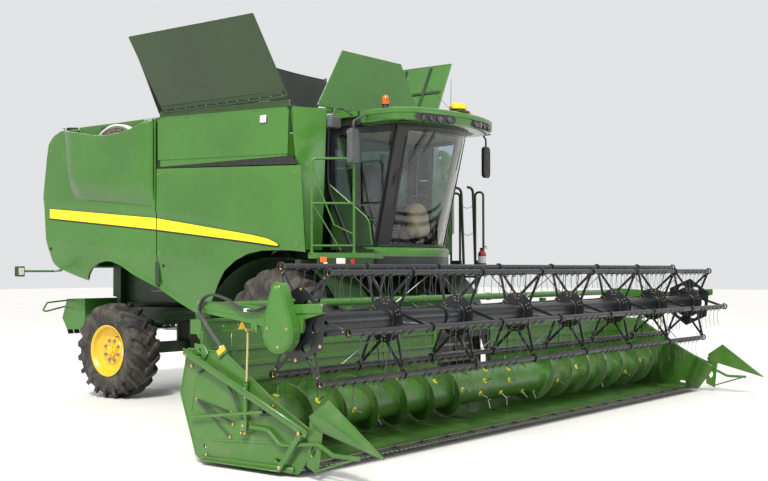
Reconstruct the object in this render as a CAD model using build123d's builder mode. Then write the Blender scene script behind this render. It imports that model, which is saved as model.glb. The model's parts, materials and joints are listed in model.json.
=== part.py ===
from build123d import *
import os
from math import atan2, cos, radians, sin, tan

os.makedirs("parts", exist_ok=True)

# Combine harvester with a rigid cutting header, 9.1 m wide.
# Working frame, mm: +X operator's left, -Y forward, +Z up, ground at z = 0.
# Y_SHIFT moves the finished pieces so that the origin is the middle of the
# footprint; every y below is measured from the working origin.
Y_SHIFT = -865.0

# ---- body ----
BODY_HALF = 1620.0        # outer face of the side panels
PANEL = 40.0              # thickness of panels, doors and covers
SEAM_Y = 2655.0           # seam between front and rear side panels
SEAM_GAP = 12.0
# ---- wheels ----
FRONT_AXLE_Y, FRONT_R, FRONT_W, FRONT_RIM_R, FRONT_X = 400.0, 950.0, 620.0, 420.0, 1265.0
REAR_AXLE_Y, REAR_R, REAR_W, REAR_RIM_R, REAR_X = 3710.0, 690.0, 480.0, 365.0, 1410.0
KINGPIN_X = 1010.0
# ---- chassis ----
RAIL_IN, RAIL_OUT, RAIL_LOW, RAIL_TOP = 640.0, 760.0, 1120.0, 1300.0
HITCH_Y, HITCH_R, HITCH_Z = 4950.0, 16.0, (800.0, 875.0)
# ---- grain tank ----
TANK_REAR, TANK_LOW, TANK_WALL = 2560.0, 2700.0, 45.0
COVER_AXIS_X, COVER_AXIS_Z = 1600.0, 4030.0
FRONT_COVER_AXIS = (70.0, 3978.0)      # y, z
DOOR_PIN = (958.0, 20.0)
# ---- cab ----
CAB_REAR, CAB_FLOOR, CAB_TOP = 60.0, 2120.0, 3700.0
# ---- header ----
HEADER_HALF = 4500.0      # end sheets
END_PLATE = 30.0
FEEDER_PIVOT = (350.0, 1760.0)      # y, z
AUGER_C, AUGER_R, AUGER_DRUM = (-1810.0, 430.0), 310.0, 205.0
REEL_C, REEL_R = (-2600.0, 1360.0), 580.0
REEL_LIFT_A, REEL_LIFT_B, REEL_LIFT_X = (-2070.0, 420.0), (-2100.0, 1302.0), 4562.0
REEL_PHASE = -5.6         # degrees, first bat's angle from straight ahead
BAT_R, BAT_HALF = 30.0, 4360.0
REEL_TUBE = (-1330.0, 1500.0)       # cross tube that the reel arms turn with, y, z
SPIDER_X = [-4395.0 + k * 8790.0 / 7 for k in range(8)]


# ---------------------------------------------------------------- helpers
def outline(plane, path):
    """Closed outline: (u, v) ends a straight edge, (um, vm, u, v) an arc by way of (um, vm)."""
    with BuildSketch(plane) as face:
        with BuildLine():
            here = path[0]
            for step in list(path[1:]) + [path[0]]:
                end = step[-2:]
                if len(step) == 4:
                    ThreePointArc(here, step[:2], end)
                else:
                    Line(here, end)
                here = end
        make_face()
    return face.sketch


def side(path, x0, x1, mode=Mode.ADD):
    """Prism of a (y, z) outline between two x stations."""
    extrude(outline(Plane.YZ.offset(x0), path), amount=x1 - x0, mode=mode)


def plan(path, z0, z1, mode=Mode.ADD):
    """Prism of an (x, y) outline between two heights."""
    extrude(outline(Plane.XY.offset(z0), path), amount=z1 - z0, mode=mode)


def front(path, y0, y1, mode=Mode.ADD):
    """Prism of an (x, z) outline between y0 and y1, y0 < y1."""
    extrude(outline(Plane.XZ.offset(-y1), path), amount=y1 - y0, mode=mode)


def block(x0, x1, y0, y1, z0, z1, mode=Mode.ADD):
    with Locations(((x0 + x1) / 2, (y0 + y1) / 2, (z0 + z1) / 2)):
        Box(x1 - x0, y1 - y0, z1 - z0, mode=mode)


def rod(p, q, r, mode=Mode.ADD):
    p, q = Vector(*p), Vector(*q)
    with BuildSketch(Plane(origin=p, z_dir=q - p)) as end:
        Circle(r)
    extrude(end.sketch, amount=(q - p).length, mode=mode)


def pipe(points, r, bend):
    """Round tube along straight runs joined by tangent arcs."""
    with BuildLine() as path:
        FilletPolyline(*points, radius=bend)
    start = Vector(*points[0])
    with BuildSketch(Plane(origin=start, z_dir=Vector(*points[1]) - start)) as end:
        Circle(r)
    sweep(end.sketch, path=path.line)


def bar(p, q, w, h, up=(0, 0, 1), mode=Mode.ADD):
    """Rectangular bar from p to q, w wide and h deep."""
    p, q = Vector(*p), Vector(*q)
    d = (q - p).normalized()
    across = d.cross(Vector(*up)).normalized()
    with BuildSketch(Plane(origin=p, x_dir=across, z_dir=d)) as end:
        Rectangle(w, h)
    extrude(end.sketch, amount=(q - p).length, mode=mode)


def turned(y, z, profile):
    """Solid of revolution about the X line through (y, z); profile is (x, radius)."""
    face = outline(Plane(origin=(0, y, z), x_dir=(1, 0, 0), z_dir=(0, -1, 0)), profile)
    revolve(face, axis=Axis((0, y, z), (1, 0, 0)))


def save(part, name):
    placed = part.moved(Location((0, Y_SHIFT, 0)))
    placed.label = name
    export_step(placed, f"parts/{name}.step")


def flip(part):
    return part.mirror(Plane.YZ)


# ---------------------------------------------------------------- chassis
with BuildPart() as main_frame:
    for s in (-1, 1):
        a, b = sorted((s * RAIL_IN, s * RAIL_OUT))
        block(a, b, -40, 4700, RAIL_LOW, RAIL_TOP)
    block(-RAIL_IN, RAIL_IN, 3600, 3820, RAIL_LOW - 60, RAIL_LOW + 60)
    block(-RAIL_IN, RAIL_IN, 4580, 4700, RAIL_LOW, RAIL_TOP)
    block(-60, 60, 4590, 4690, 800, RAIL_LOW + 10)            # tow hitch under the spreader
    for z0 in HITCH_Z:
        block(-60, 60, 4590, 5010, z0, z0 + 25)
    rod((0, HITCH_Y, 780), (0, HITCH_Y, 920), HITCH_R, mode=Mode.SUBTRACT)
    for y0 in (3545, 3835):                                   # rear axle bracket
        block(-150, 150, y0, y0 + 40, 620, RAIL_LOW + 20)
        block(-RAIL_IN, RAIL_IN, min(y0, 3600), max(y0 + 40, 3820), RAIL_LOW - 20, RAIL_LOW + 20)
    rod((0, 3545, 690), (0, 3610, 690), 45)
    rod((0, 3810, 690), (0, 3875, 690), 45)
save(main_frame.part, "main_frame")

with BuildPart() as body_supports:
    for s in (-1, 1):
        a, b = sorted((s * RAIL_IN, s * RAIL_OUT))
        c, d = sorted((s * RAIL_OUT, s * 1578))
        block(a, b, -40, 110, RAIL_TOP, 1860)                 # cab upright
        block(a, b, -460, 110, 1860, 1990)                    # cab outrigger
        block(c, d, -40, 50, 1930, 1990)
        for y0 in (2540, 4480):                               # panel carriers
            block(a, b, y0, y0 + 90, RAIL_TOP, 2560)
            block(c, d, y0, y0 + 90, 2470, 2560)
    block(-RAIL_IN, RAIL_IN, -40, 60, 1945, 1990)
save(body_supports.part, "body_supports")

with BuildPart() as front_axle:
    block(-800, 800, 290, 510, 860, 1118)
    for s in (-1, 1):
        a, b = sorted((s * 790, s * 905))
        block(a, b, 210, 590, 780, 1180)
        rod((s * 905, FRONT_AXLE_Y, FRONT_R), (s * 1228, FRONT_AXLE_Y, FRONT_R), 130)
    for x in (-430, 430):                                     # lift cylinder ears
        for dx in (-82, 62):
            block(x + dx, x + dx + 20, 170, 350, 630, 890)
save(front_axle.part, "front_axle")

with BuildPart() as rear_axle:
    block(-900, 900, 3615, 3805, 610, 770)
    for s in (-1, 1):
        rod((s * KINGPIN_X, REAR_AXLE_Y, 600), (s * KINGPIN_X, REAR_AXLE_Y, 780), 72)
        a, b = sorted((s * 880, s * (KINGPIN_X - 20)))
        block(a, b, 3650, 3770, 620, 760)
save(rear_axle.part, "rear_axle")

with BuildPart() as knuckle:
    for z0 in (545, 790):
        with BuildSketch(Plane.XY.offset(z0)):
            with Locations((KINGPIN_X, REAR_AXLE_Y)):
                Circle(80)
            with Locations((KINGPIN_X + 60, REAR_AXLE_Y)):
                Rectangle(120, 160)
        extrude(amount=45)
    block(KINGPIN_X + 85, KINGPIN_X + 125, REAR_AXLE_Y - 80, REAR_AXLE_Y + 80, 545, 835)
    rod((KINGPIN_X + 125, REAR_AXLE_Y, 690), (1478, REAR_AXLE_Y, 690), 75)
    bar((KINGPIN_X + 40, REAR_AXLE_Y + 70, 567), (KINGPIN_X - 20, REAR_AXLE_Y + 240, 567), 60, 40)
save(knuckle.part, "steering_knuckle_left")
save(flip(knuckle.part), "steering_knuckle_right")


def tyre_profile(cx, w, r_out, r_in):
    h = r_out - r_in
    return [
        (cx - w * 0.40, r_in), (cx - w * 0.50, r_in + h * 0.30), (cx - w * 0.50, r_in + h * 0.62),
        (cx - w * 0.41, r_out - h * 0.06), (cx - w * 0.30, r_out), (cx + w * 0.30, r_out),
        (cx + w * 0.41, r_out - h * 0.06), (cx + w * 0.50, r_in + h * 0.62),
        (cx + w * 0.50, r_in + h * 0.30), (cx + w * 0.40, r_in),
    ]


# wheel table: name, axle y, x of the middle, tyre radius, width, rim radius, disc's inner face, disc depth
WHEELS = [
    ("front", FRONT_AXLE_Y, FRONT_X, FRONT_R, FRONT_W, FRONT_RIM_R, 1236.0),
    ("rear", REAR_AXLE_Y, REAR_X, REAR_R, REAR_W, REAR_RIM_R, 1484.0),
]
for name, y, cx, r, w, rim_r, disc in WHEELS:
    with BuildPart() as tyre:
        turned(y, r, tyre_profile(cx, w, r, rim_r))
    save(tyre.part, f"{name}_tyre_left")
    save(flip(tyre.part), f"{name}_tyre_right")
    a, b = cx - w * 0.40, cx + w * 0.40
    with BuildPart() as rim:
        turned(y, r, [
            (disc, 0), (disc, rim_r - 60), (a + 10, rim_r - 40), (a, rim_r - 14), (a, rim_r - 0.4),
            (b, rim_r - 0.4), (b + 14, rim_r + 8), (b + 14, rim_r - 12), (b - 30, rim_r - 32),
            (disc + 40, rim_r - 85), (disc + 22, 170), (disc + 22, 110), (disc + 70, 95), (disc + 70, 0),
        ])
    save(rim.part, f"{name}_rim_left")
    save(flip(rim.part), f"{name}_rim_right")

# ---------------------------------------------------------------- inner masses
with BuildPart() as separator_housing:
    side([(495, 1560), (495, 2600), (4650, 2600), (4840, 2050), (4840, 1450),
          (3900, 1330), (2900, 1330), (1500, 1180), (760, 1340)], -620, 620)
save(separator_housing.part, "separator_housing")

with BuildPart() as engine_block:
    block(-550, 550, 2950, 4300, 2760, 3560)
save(engine_block.part, "engine_block")

with BuildPart() as grain_elevator:
    side([(1960, 1010), (2060, 890, 2170, 1000), (2330, 2660), (2130, 2660)], -1290, -1010)
save(grain_elevator.part, "grain_elevator")

# ---------------------------------------------------------------- side panels
# bevel line of the lower skirt, rear to front: y, z
BEVEL = [(5235, 2325), (2660, 2105), (1250, 1850)]
SKIRT_TUCK, SKIRT_DEPTH = 85.0, 1000.0      # inward run over the depth below the bevel


def skirt(line, path):
    """Lower skirt plate: slants inward below the bevel line, trimmed to a side outline."""
    (ya, za), (yb, zb) = line
    p, d = Vector(-BODY_HALF, ya, za), Vector(0, yb - ya, zb - za)
    start = p - d.normalized() * 400
    across = Vector(1, 0, 0)
    plane = Plane(origin=start, x_dir=across, z_dir=d)      # local y = z_dir x x_dir
    up = 1 if plane.y_dir.Z > 0 else -1
    profile = [(0, 0), (PANEL, 0), (PANEL + SKIRT_TUCK, -up * SKIRT_DEPTH), (SKIRT_TUCK, -up * SKIRT_DEPTH)]
    with BuildPart() as plate:
        side(path, -BODY_HALF, -BODY_HALF + 160)
        extrude(outline(plane, profile), amount=d.length + 800, mode=Mode.INTERSECT)
    return plate.part


FRONT_ARCH = [(1900, 1300), (1560, 1545, 1300, 1850)]
low_front = skirt(BEVEL[1:], [
    (2648, 2103), (2620, 1600), (1960, 1275), (1900, 1268), (1570, 1480, 1360, 1780), (1290, 1857)])
with BuildPart() as panel_front:
    side([(2648, 2103), (2648, 3283), (-85, 3172), (-95, 3105), (-150, 2075), (270, 2108),
          (850, 2075, 1290, 1857)], -BODY_HALF, -BODY_HALF + PANEL)
    add(low_front)
low_rear = skirt(BEVEL[:2], [
    (5235, 2325), (5110, 1990), (4960, 1885), (4270, 1705), (4110, 1900), (3790, 1985),
    (3450, 1930), (3180, 1785), (2672, 1600), (2664, 2105)])
with BuildPart() as panel_rear:
    side([(5235, 2325), (2664, 2105), (2664, 3990), (4760, 3990), (5000, 3930, 5165, 3780),
          (5285, 2960), (5225, 2880), (5225, 2400)], -BODY_HALF, -BODY_HALF + PANEL)
    add(low_rear)
    # the opening behind the intake scoop
    side([(2900, 3350), (4450, 3350), (4450, 4100), (2900, 4100)], -BODY_HALF - 5, -BODY_HALF + PANEL + 5,
         mode=Mode.SUBTRACT)
with BuildPart() as side_panels:
    add(panel_front.part)
    add(panel_rear.part)
save(side_panels.part, "side_panels_right")
with BuildPart() as panel_rear_left:
    add(flip(panel_rear.part))
    block(1580, BODY_HALF, 2880, 4470, 3330, 3990)
with BuildPart() as side_panels_left:
    add(flip(panel_front.part))
    add(panel_rear_left.part)
save(side_panels_left.part, "side_panels_left")

# corner panels between the tank front and the cab: plan quadrilateral at two heights
CORNERS = [  # z, outer y, inner y, inner x
    (2110.0, -150.0, -60.0, 1190.0),
    (3925.0, 95.0, -140.0, 1190.0),
]
with BuildPart() as corner:
    for z, y_out, y_in, x_in in CORNERS:
        with BuildSketch(Plane.XY.offset(z)):
            with BuildLine():
                Polyline((-1575, y_out), (-x_in, y_in), (-x_in, y_in + PANEL), (-1575, y_out + PANEL), close=True)
            make_face()
    loft(ruled=True)
with BuildPart() as front_corner_panels:
    add(corner.part)
    add(flip(corner.part))
save(front_corner_panels.part, "front_corner_panels")

with BuildPart() as rear_hood:
    side([(2680, 4050), (4800, 4050), (5150, 3850), (5270, 2960), (5210, 2330), (4960, 1900),
          (4925, 1925), (5170, 2345), (5230, 2950), (5115, 3825), (4790, 4010), (2680, 4010)], -1578, 1578)
    block(-1578, -1230, 2600, 4905, 3000, 4060, mode=Mode.SUBTRACT)
    block(-1270, -1230, 2680, 4780, 3000, 4050)
    for s in (-1, 1):
        a, b = sorted((s * 1600, s * 1528))
        block(a, b, 4880, 5300, 1800, 2335, mode=Mode.SUBTRACT)
with BuildPart() as lamp_arm:
    pipe([(-1450, 5019, 1960), (-1450, 5030, 1860), (-1540, 5110, 1850), (-2020, 5200, 1850)], 18, 35)
    block(-2140, -2020, 5160, 5240, 1770, 1920)
with BuildPart() as rear_hood_with_lamps:
    add(rear_hood.part)
    add(lamp_arm.part)
    add(flip(lamp_arm.part))
save(rear_hood_with_lamps.part, "rear_hood")

# intake scoop: outline on the body plane and a smaller one further out, top edge concave
SCOOP = [  # y, z on the body side; y, z on the outer face
    (2680, 2745, 2700, 2860), (2670, 3990, 2690, 3985), (2850, 3905, 2860, 3880), (3300, 3820, 3300, 3795),
    (3800, 3815, 3780, 3790), (4250, 3890, 4200, 3870), (4760, 4010, 4700, 3985), (4700, 3500, 4590, 3520),
    (4600, 3060, 4450, 3180), (4470, 2920, 4290, 3060),
]


def scoop_body(x_in, x_out, inset, lift):
    cy, cz = 3700.0, 3400.0
    with BuildPart() as body:
        for x, i in ((x_in, 0), (x_out, 2)):
            with BuildSketch(Plane.YZ.offset(x)):
                with BuildLine():
                    Polyline(*[(row[i] + inset * (1 if row[i] < cy else -1),
                                row[i + 1] + (inset if row[i + 1] < cz else lift)) for row in SCOOP], close=True)
                make_face()
        loft(ruled=True)
    return body.part


scoop_outer = scoop_body(-1621, -1745, 0, 0)
scoop_inner = scoop_body(-1600, -1718, 34, 90)
with BuildPart() as intake_scoop:
    add(scoop_outer)
    add(scoop_inner, mode=Mode.SUBTRACT)
save(intake_scoop.part, "intake_scoop")

with BuildPart() as rotary_screen:
    turned(3760, 3370, [(-1300, 0), (-1300, 560), (-1345, 645), (-1450, 645), (-1450, 600), (-1490, 90), (-1490, 0)])
save(rotary_screen.part, "rotary_screen")

# ---------------------------------------------------------------- grain tank
with BuildPart() as tank_hollow:
    for z, hx, y0, y1 in ((2760, 380, 700, 2000), (3420, 1570, 140, 2510)):
        with BuildSketch(Plane.XY.offset(z)):
            with Locations((0, (y0 + y1) / 2)):
                Rectangle(2 * hx, y1 - y0)
    loft(ruled=True)
    block(-1570, 1570, 140, 2510, 3420, 4200)
with BuildPart() as tank_hopper:
    for z, hx, y0, y1 in ((2700, 500, 600, 2100), (3300, 1560, 120, 2540)):
        with BuildSketch(Plane.XY.offset(z)):
            with Locations((0, (y0 + y1) / 2)):
                Rectangle(2 * hx, y1 - y0)
    loft(ruled=True)
with BuildPart() as grain_tank:
    plan([(-BODY_HALF, 150), (-1560, 145), (-1230, 95), (1230, 95), (1560, 145), (BODY_HALF, 150),
          (BODY_HALF, TANK_REAR), (-BODY_HALF, TANK_REAR)], 3300, 4060)
    add(tank_hopper.part)
    add(tank_hollow.part, mode=Mode.SUBTRACT)
    side([(0, 3935), (2700, 4015), (2700, 4300), (0, 4300)], -1700, 1700, mode=Mode.SUBTRACT)
save(grain_tank.part, "grain_tank")

# covers stand open; each is a plate with knuckles on its hinge line: right side one, its mirror, and the front one
LEAN = atan2(1000, 580)
with BuildPart() as tank_cover_right:
    hinge = Plane(origin=(-COVER_AXIS_X, 0, COVER_AXIS_Z), x_dir=(0, 1, 0), z_dir=(-sin(LEAN), 0, -cos(LEAN)))
    up = 1 if hinge.y_dir.Z > 0 else -1
    extrude(outline(hinge, [(160, up * 25), (2500, up * 35), (2570, up * 1150), (230, up * 1135)]), amount=PANEL)
    for y0 in (420, 1250, 2080):                              # hinge knuckles and their leaves
        rod((-COVER_AXIS_X, y0, COVER_AXIS_Z), (-COVER_AXIS_X, y0 + 160, COVER_AXIS_Z), 10)
        extrude(outline(hinge, [(y0, 0), (y0 + 160, 0), (y0 + 160, up * 60), (y0, up * 60)]), amount=8)
save(tank_cover_right.part, "tank_cover_right")
save(flip(tank_cover_right.part), "tank_cover_left")

with BuildPart() as tank_cover_front:
    front([(-1130, 3990), (1130, 3990), (640, 4770), (-640, 4770)], 50, 90)
    for x0 in (-860, -80, 700):
        rod((x0, *FRONT_COVER_AXIS), (x0 + 160, *FRONT_COVER_AXIS), 10)
        block(x0, x0 + 160, FRONT_COVER_AXIS[0] - 4, FRONT_COVER_AXIS[0] + 4, FRONT_COVER_AXIS[1], 4000)
save(tank_cover_front.part, "tank_cover_front")

with BuildPart() as rear_canvas:
    front([(-1560, 4040), (1560, 4040), (2060, 5060), (1850, 5200), (-1850, 5200), (-2060, 5060)], 2640, 2670)
save(rear_canvas.part, "rear_canvas")

# ---------------------------------------------------------------- cab
# cab sections: z, half width at the rear, half width at the front pillars, y of the pillars, y of the nose
CAB = [
    (CAB_FLOOR, 880.0, 720.0, -600.0, -880.0),
    (CAB_TOP, 950.0, 740.0, -960.0, -1290.0),
]


def cab_solid(inset, z_cut=0.0):
    with BuildPart() as body:
        for z, rear, nose, pillar_y, nose_y in CAB:
            with BuildSketch(Plane.XY.offset(z)):
                with BuildLine():
                    Polyline((-nose + inset, pillar_y + inset * 0.4), (-rear + inset, CAB_REAR - inset),
                             (rear - inset, CAB_REAR - inset), (nose - inset, pillar_y + inset * 0.4))
                    ThreePointArc((nose - inset, pillar_y + inset * 0.4), (0, nose_y + inset),
                                  (-nose + inset, pillar_y + inset * 0.4))
                make_face()
        loft(ruled=True)
    return body.part


cab_outer, cab_inner = cab_solid(0), cab_solid(45)
glass_outer, glass_inner = cab_solid(12), cab_solid(20)

WINDOW_FRONT = [(-600, 2190), (600, 2190), (640, 3630), (-640, 3630)]
WINDOW_REAR = [(-780, 2650), (780, 2650), (830, 3600), (-830, 3600)]
WINDOW_SIDE = [(-40, 2700), (-180, 2220), (-540, 2220), (-880, 3620), (-40, 3620)]
DOOR = [(0, 2170), (-560, 2170), (-560, 2300), (-860, 3640), (0, 3640)]
DOOR_GLASS = [(-50, 2240), (-500, 2240), (-515, 2320), (-800, 3580), (-50, 3580)]


def shrink(path, d):
    """Outline drawn in towards its middle by about d."""
    cu = sum(p[0] for p in path) / len(path)
    cv = sum(p[1] for p in path) / len(path)
    return [(u + (d if u < cu else -d), v + (d if v < cv else -d)) for u, v in path]


with BuildPart() as cab_shell:
    add(cab_outer)
    add(cab_inner, mode=Mode.SUBTRACT)
    plan([(-860, CAB_REAR - 20), (860, CAB_REAR - 20), (700, -580), (-700, -580)], CAB_FLOOR, CAB_FLOOR + 40)
    front(WINDOW_FRONT, -1500, -560, mode=Mode.SUBTRACT)
    front(WINDOW_REAR, -60, 100, mode=Mode.SUBTRACT)
    side(WINDOW_SIDE, -1100, -600, mode=Mode.SUBTRACT)
    side(DOOR, 600, 1100, mode=Mode.SUBTRACT)
    # chin below the windscreen
    plan([(-790, -480), (-780, -640), (0, -960, 780, -640), (790, -480)], 1895, CAB_FLOOR - 2)
    plan([(-700, -500), (700, -500), (700, -400), (-700, -400)], 1992, CAB_FLOOR + 10)
    block(-760, 760, -500, CAB_REAR, 1992, CAB_FLOOR + 2)
save(cab_shell.part, "cab_shell")

with BuildPart() as glass_front:
    add(glass_outer)
    add(glass_inner, mode=Mode.SUBTRACT)
    front(shrink(WINDOW_FRONT, 3), -1500, -565, mode=Mode.INTERSECT)
with BuildPart() as glass_rear:
    add(glass_outer)
    add(glass_inner, mode=Mode.SUBTRACT)
    front(shrink(WINDOW_REAR, 3), -50, 100, mode=Mode.INTERSECT)
with BuildPart() as glass_right:
    add(glass_outer)
    add(glass_inner, mode=Mode.SUBTRACT)
    side(shrink(WINDOW_SIDE, 3), -1100, -610, mode=Mode.INTERSECT)
with BuildPart() as cab_glass:
    add(glass_front.part)
    add(glass_rear.part)
    add(glass_right.part)
save(cab_glass.part, "cab_glass")

with BuildPart() as cab_door:
    add(cab_outer)
    add(cab_inner, mode=Mode.SUBTRACT)
    side(shrink(DOOR, 7), 600, 1100, mode=Mode.INTERSECT)
    side(DOOR_GLASS, 500, 1100, mode=Mode.SUBTRACT)
    for z0 in (2420, 3290):                                   # hinge arms
        block(880, 945, -46, -14, z0, z0 + 50)
        bar((936, -32, z0 + 25), (*DOOR_PIN, z0 + 25), 16, 50)
        rod((*DOOR_PIN, z0 - 5), (*DOOR_PIN, z0 + 55), 12)
save(cab_door.part, "cab_door")
with BuildPart() as cab_door_glass:
    add(glass_outer)
    add(glass_inner, mode=Mode.SUBTRACT)
    side(shrink(DOOR_GLASS, 3), 600, 1100, mode=Mode.INTERSECT)
save(cab_door_glass.part, "cab_door_glass")

with BuildPart() as cab_roof:
    plan([(-1050, 40), (-1060, -1120), (-860, -1330), (0, -1500, 860, -1330), (1060, -1120), (1050, 40)],
         CAB_TOP + 2, 3890)
save(cab_roof.part, "cab_roof")

with BuildPart() as operator_seat:
    block(-270, 270, -440, 0, 2500, 2640)
    block(-260, 260, -90, 8, 2640, 3280)
    block(-150, 150, -330, -60, CAB_FLOOR + 42, 2500)
    block(-400, -300, -480, 0, 2640, 2740)
    block(-300, -260, -250, -50, 2640, 2700)
save(operator_seat.part, "operator_seat")

with BuildPart() as steering_column:
    rod((0, -760, CAB_FLOOR + 42), (0, -640, 2760), 45)
    with BuildSketch(Plane(origin=(0, -640, 2760), z_dir=(0, 0.35, 1))):
        Circle(190)
        Circle(165, mode=Mode.SUBTRACT)
        Rectangle(350, 40)
    extrude(amount=22)
save(steering_column.part, "steering_column")

# ---------------------------------------------------------------- platforms and rails
with BuildPart() as platform_right:
    plan([(-1600, -190), (-1600, -330), (-1020, -770), (-830, -770), (-830, -640), (-960, -190)], 2000, 2070)
    POST_A, POST_B = (-1560, -215), (-1190, -590)
    pipe([(*POST_B, 2060), (*POST_B, 3250), (*POST_A, 3250), (*POST_A, 2060)], 17, 60)
    for z in (2160, 2690):
        rod((*POST_A, z), (*POST_B, z), 15)
save(platform_right.part, "platform_right")

with BuildPart() as platform_left:
    plan([(962, 0), (962, -560), (830, -640), (1780, -640), (1780, 0)], 1880, 1928)
    pipe([(1745, -40, 1880), (1745, -40, 2990), (1745, -200, 2990), (1745, -200, 1880)], 17, 60)
    pipe([(1745, -470, 1880), (1745, -470, 2990), (1745, -610, 2990), (1745, -610, 1880)], 17, 60)
    for y in (-235, -440):                                 # ladder stringers and grab rails
        pipe([(1800, y, 640), (1800, y, 1700), (1730, y, 3050), (1600, y, 3060)], 20, 90)
    for k in range(5):
        block(1770, 1850, -440, -235, 700 + 260 * k, 725 + 260 * k)
    block(1740, 1800, -440, -235, 1882, 1925)
save(platform_left.part, "platform_left")

with BuildPart() as mirrors:
    block(-1440, -1260, -735, -695, 3160, 3600)
    pipe([(-1350, -715, 3590), (-1350, -715, 3700), (-1110, -700, 3800), (-1061, -700, 3800)], 14, 30)
    block(-1500, -1300, -470, -420, 3640, 3780)
    pipe([(-1400, -445, 3770), (-1400, -445, 3850), (-1110, -450, 3860), (-1060, -450, 3860)], 12, 20)
    block(1190, 1350, -985, -945, 3140, 3580)
    pipe([(1270, -965, 3570), (1270, -965, 3690), (1115, -965, 3790), (1064, -965, 3790)], 14, 30)
save(mirrors.part, "mirrors")

# ---------------------------------------------------------------- unloading auger, left side
RISER = (1845.0, 215.0)      # x, y of the swing axis
with BuildPart() as unloading_riser:
    rod((*RISER, 2350), (*RISER, 3050), 205)
    block(1622, 1845, 60, 370, 2450, 2900)
save(unloading_riser.part, "unloading_riser")
with BuildPart() as unloading_auger:
    rod((*RISER, 3055), (*RISER, 3460), 205)
    rod((RISER[0], RISER[1] - 55, 3461), (RISER[0], 4900, 3560), 205)
    bar((RISER[0], 4870, 3560), (RISER[0], 5150, 3330), 430, 420)
save(unloading_auger.part, "unloading_auger")

# ---------------------------------------------------------------- rear
with BuildPart() as straw_spreader:
    side([(4860, 1420), (5300, 1400), (5420, 1100), (5300, 930), (4900, 950), (4850, 1100)], -1150, 1150)
    for s in (-1, 1):
        a, b = sorted((s * 500, s * 620))
        block(a, b, 4705, 4870, 1150, 1290)
    for s in (-1, 1):
        pipe([(s * 1140, 5320, 1390), (s * 1500, 5330, 1360), (s * 1560, 5360, 1240), (s * 1480, 5380, 1225),
              (s * 1140, 5385, 1290)], 14, 25)
save(straw_spreader.part, "straw_spreader")

# ---------------------------------------------------------------- feeder and header
with BuildPart() as feeder_house:
    side([(340, 1480), (350, 1645), (465, 1760, 350, 1875), (120, 1870), (-1290, 1130), (-1290, 380), (-900, 420), (60, 1340)],
         -590, 590)
    for x in (-430, 430):
        for dx in (-55, 35):
            block(x + dx, x + dx + 20, -1150, -990, 262, 480)
    block(-500, 500, -1180, -960, 380, 440)
save(feeder_house.part, "feeder_house")

BACK_Y = -1400.0
with BuildPart() as header_frame:
    block(-HEADER_HALF, HEADER_HALF, BACK_Y, BACK_Y + 150, 1235, 1375)            # top beam
    side([(BACK_Y, 1240), (BACK_Y, 420), (-1480, 150), (-1800, 65), (-2600, 45), (-2600, 80), (-1800, 100),
          (-1500, 180), (BACK_Y - 25, 430), (BACK_Y - 25, 1240)], -HEADER_HALF, HEADER_HALF)  # back sheet and floor
    block(-560, 560, BACK_Y - 40, BACK_Y + 5, 420, 1000, mode=Mode.SUBTRACT)      # crop throat
    for k in range(9):                                                            # rear ribs
        x = -4400 + k * 1100
        if abs(x) > 700:
            side([(BACK_Y, 1240), (BACK_Y + 90, 1240), (BACK_Y + 60, 300), (-1480, 60), (-2400, 50), (-1800, 66),
                  (-1480, 151), (BACK_Y, 421)], x - 30, x + 30)
    block(-HEADER_HALF, -640, BACK_Y, BACK_Y + 100, 330, 430)
    block(640, HEADER_HALF, BACK_Y, BACK_Y + 100, 330, 430)
    block(-640, 640, BACK_Y, BACK_Y + 105, 1130, 1240)
    for x in (-4380, -2200, 0, 2200, 4380):                                       # saddles of the reel cross tube
        block(x - 30, x + 30, BACK_Y + 30, BACK_Y + 110, 1370, 1450)
save(header_frame.part, "header_frame")

# end sheet outline (y, z) and the bent divider frame in front of it
END_SHEET = [(-1250, 1090), (-1150, 660), (-1370, 80), (-1480, 35), (-2700, 40), (-2960, 375), (-2430, 650), (-1780, 1060)]
with BuildPart() as end_right:
    side(END_SHEET, -HEADER_HALF - END_PLATE, -HEADER_HALF)
    # crop divider: pointed shoe, tip well in front of the knife
    for x0, x1, path in (
        (-4610, -4532, [(-3690, 270), (-3080, 715), (-2860, 560), (-2900, 470)]),
        (-4560, -4532, [(-3080, 715), (-2860, 560), (-2820, 120), (-2960, 60)]),
    ):
        side(path, x0, x1)
    # stiffening rail, stood off the sheet, and its front leg
    bar((-4599, -1260, 1075), (-4599, -2850, 410), 14, 66)
    bar((-4599, -2790, 430), (-4599, -2520, 60), 14, 60)
    for y0, y1, z0, z1 in ((-1330, -1270, 1000, 1060), (-2800, -2740, 385, 440), (-2560, -2510, 60, 110)):
        block(-4606, -4530, y0, y1, z0, z1)
    bar((-4545, -2850, 120), (-4545, -1450, 90), 26, 60)
    block(-4595, -4529, -2110, -2030, 330, 372)               # reel cylinder bracket
    block(-4537, -4529, -2110, -2030, 360, 470)
    block(-4595, -4587, -2110, -2030, 360, 470)
with BuildPart() as header_ends:
    add(end_right.part)
    add(flip(end_right.part))
save(header_ends.part, "header_ends")

with BuildPart() as cutterbar:
    block(-HEADER_HALF + 5, HEADER_HALF - 5, -2690, -2602, 45, 80)
    with Locations(*[(-4400 + k * 152.4, -2725, 60) for k in range(59) if abs(-4400 + k * 152.4) < 4480]):
        Box(26, 90, 22)
save(cutterbar.part, "cutterbar")

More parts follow.
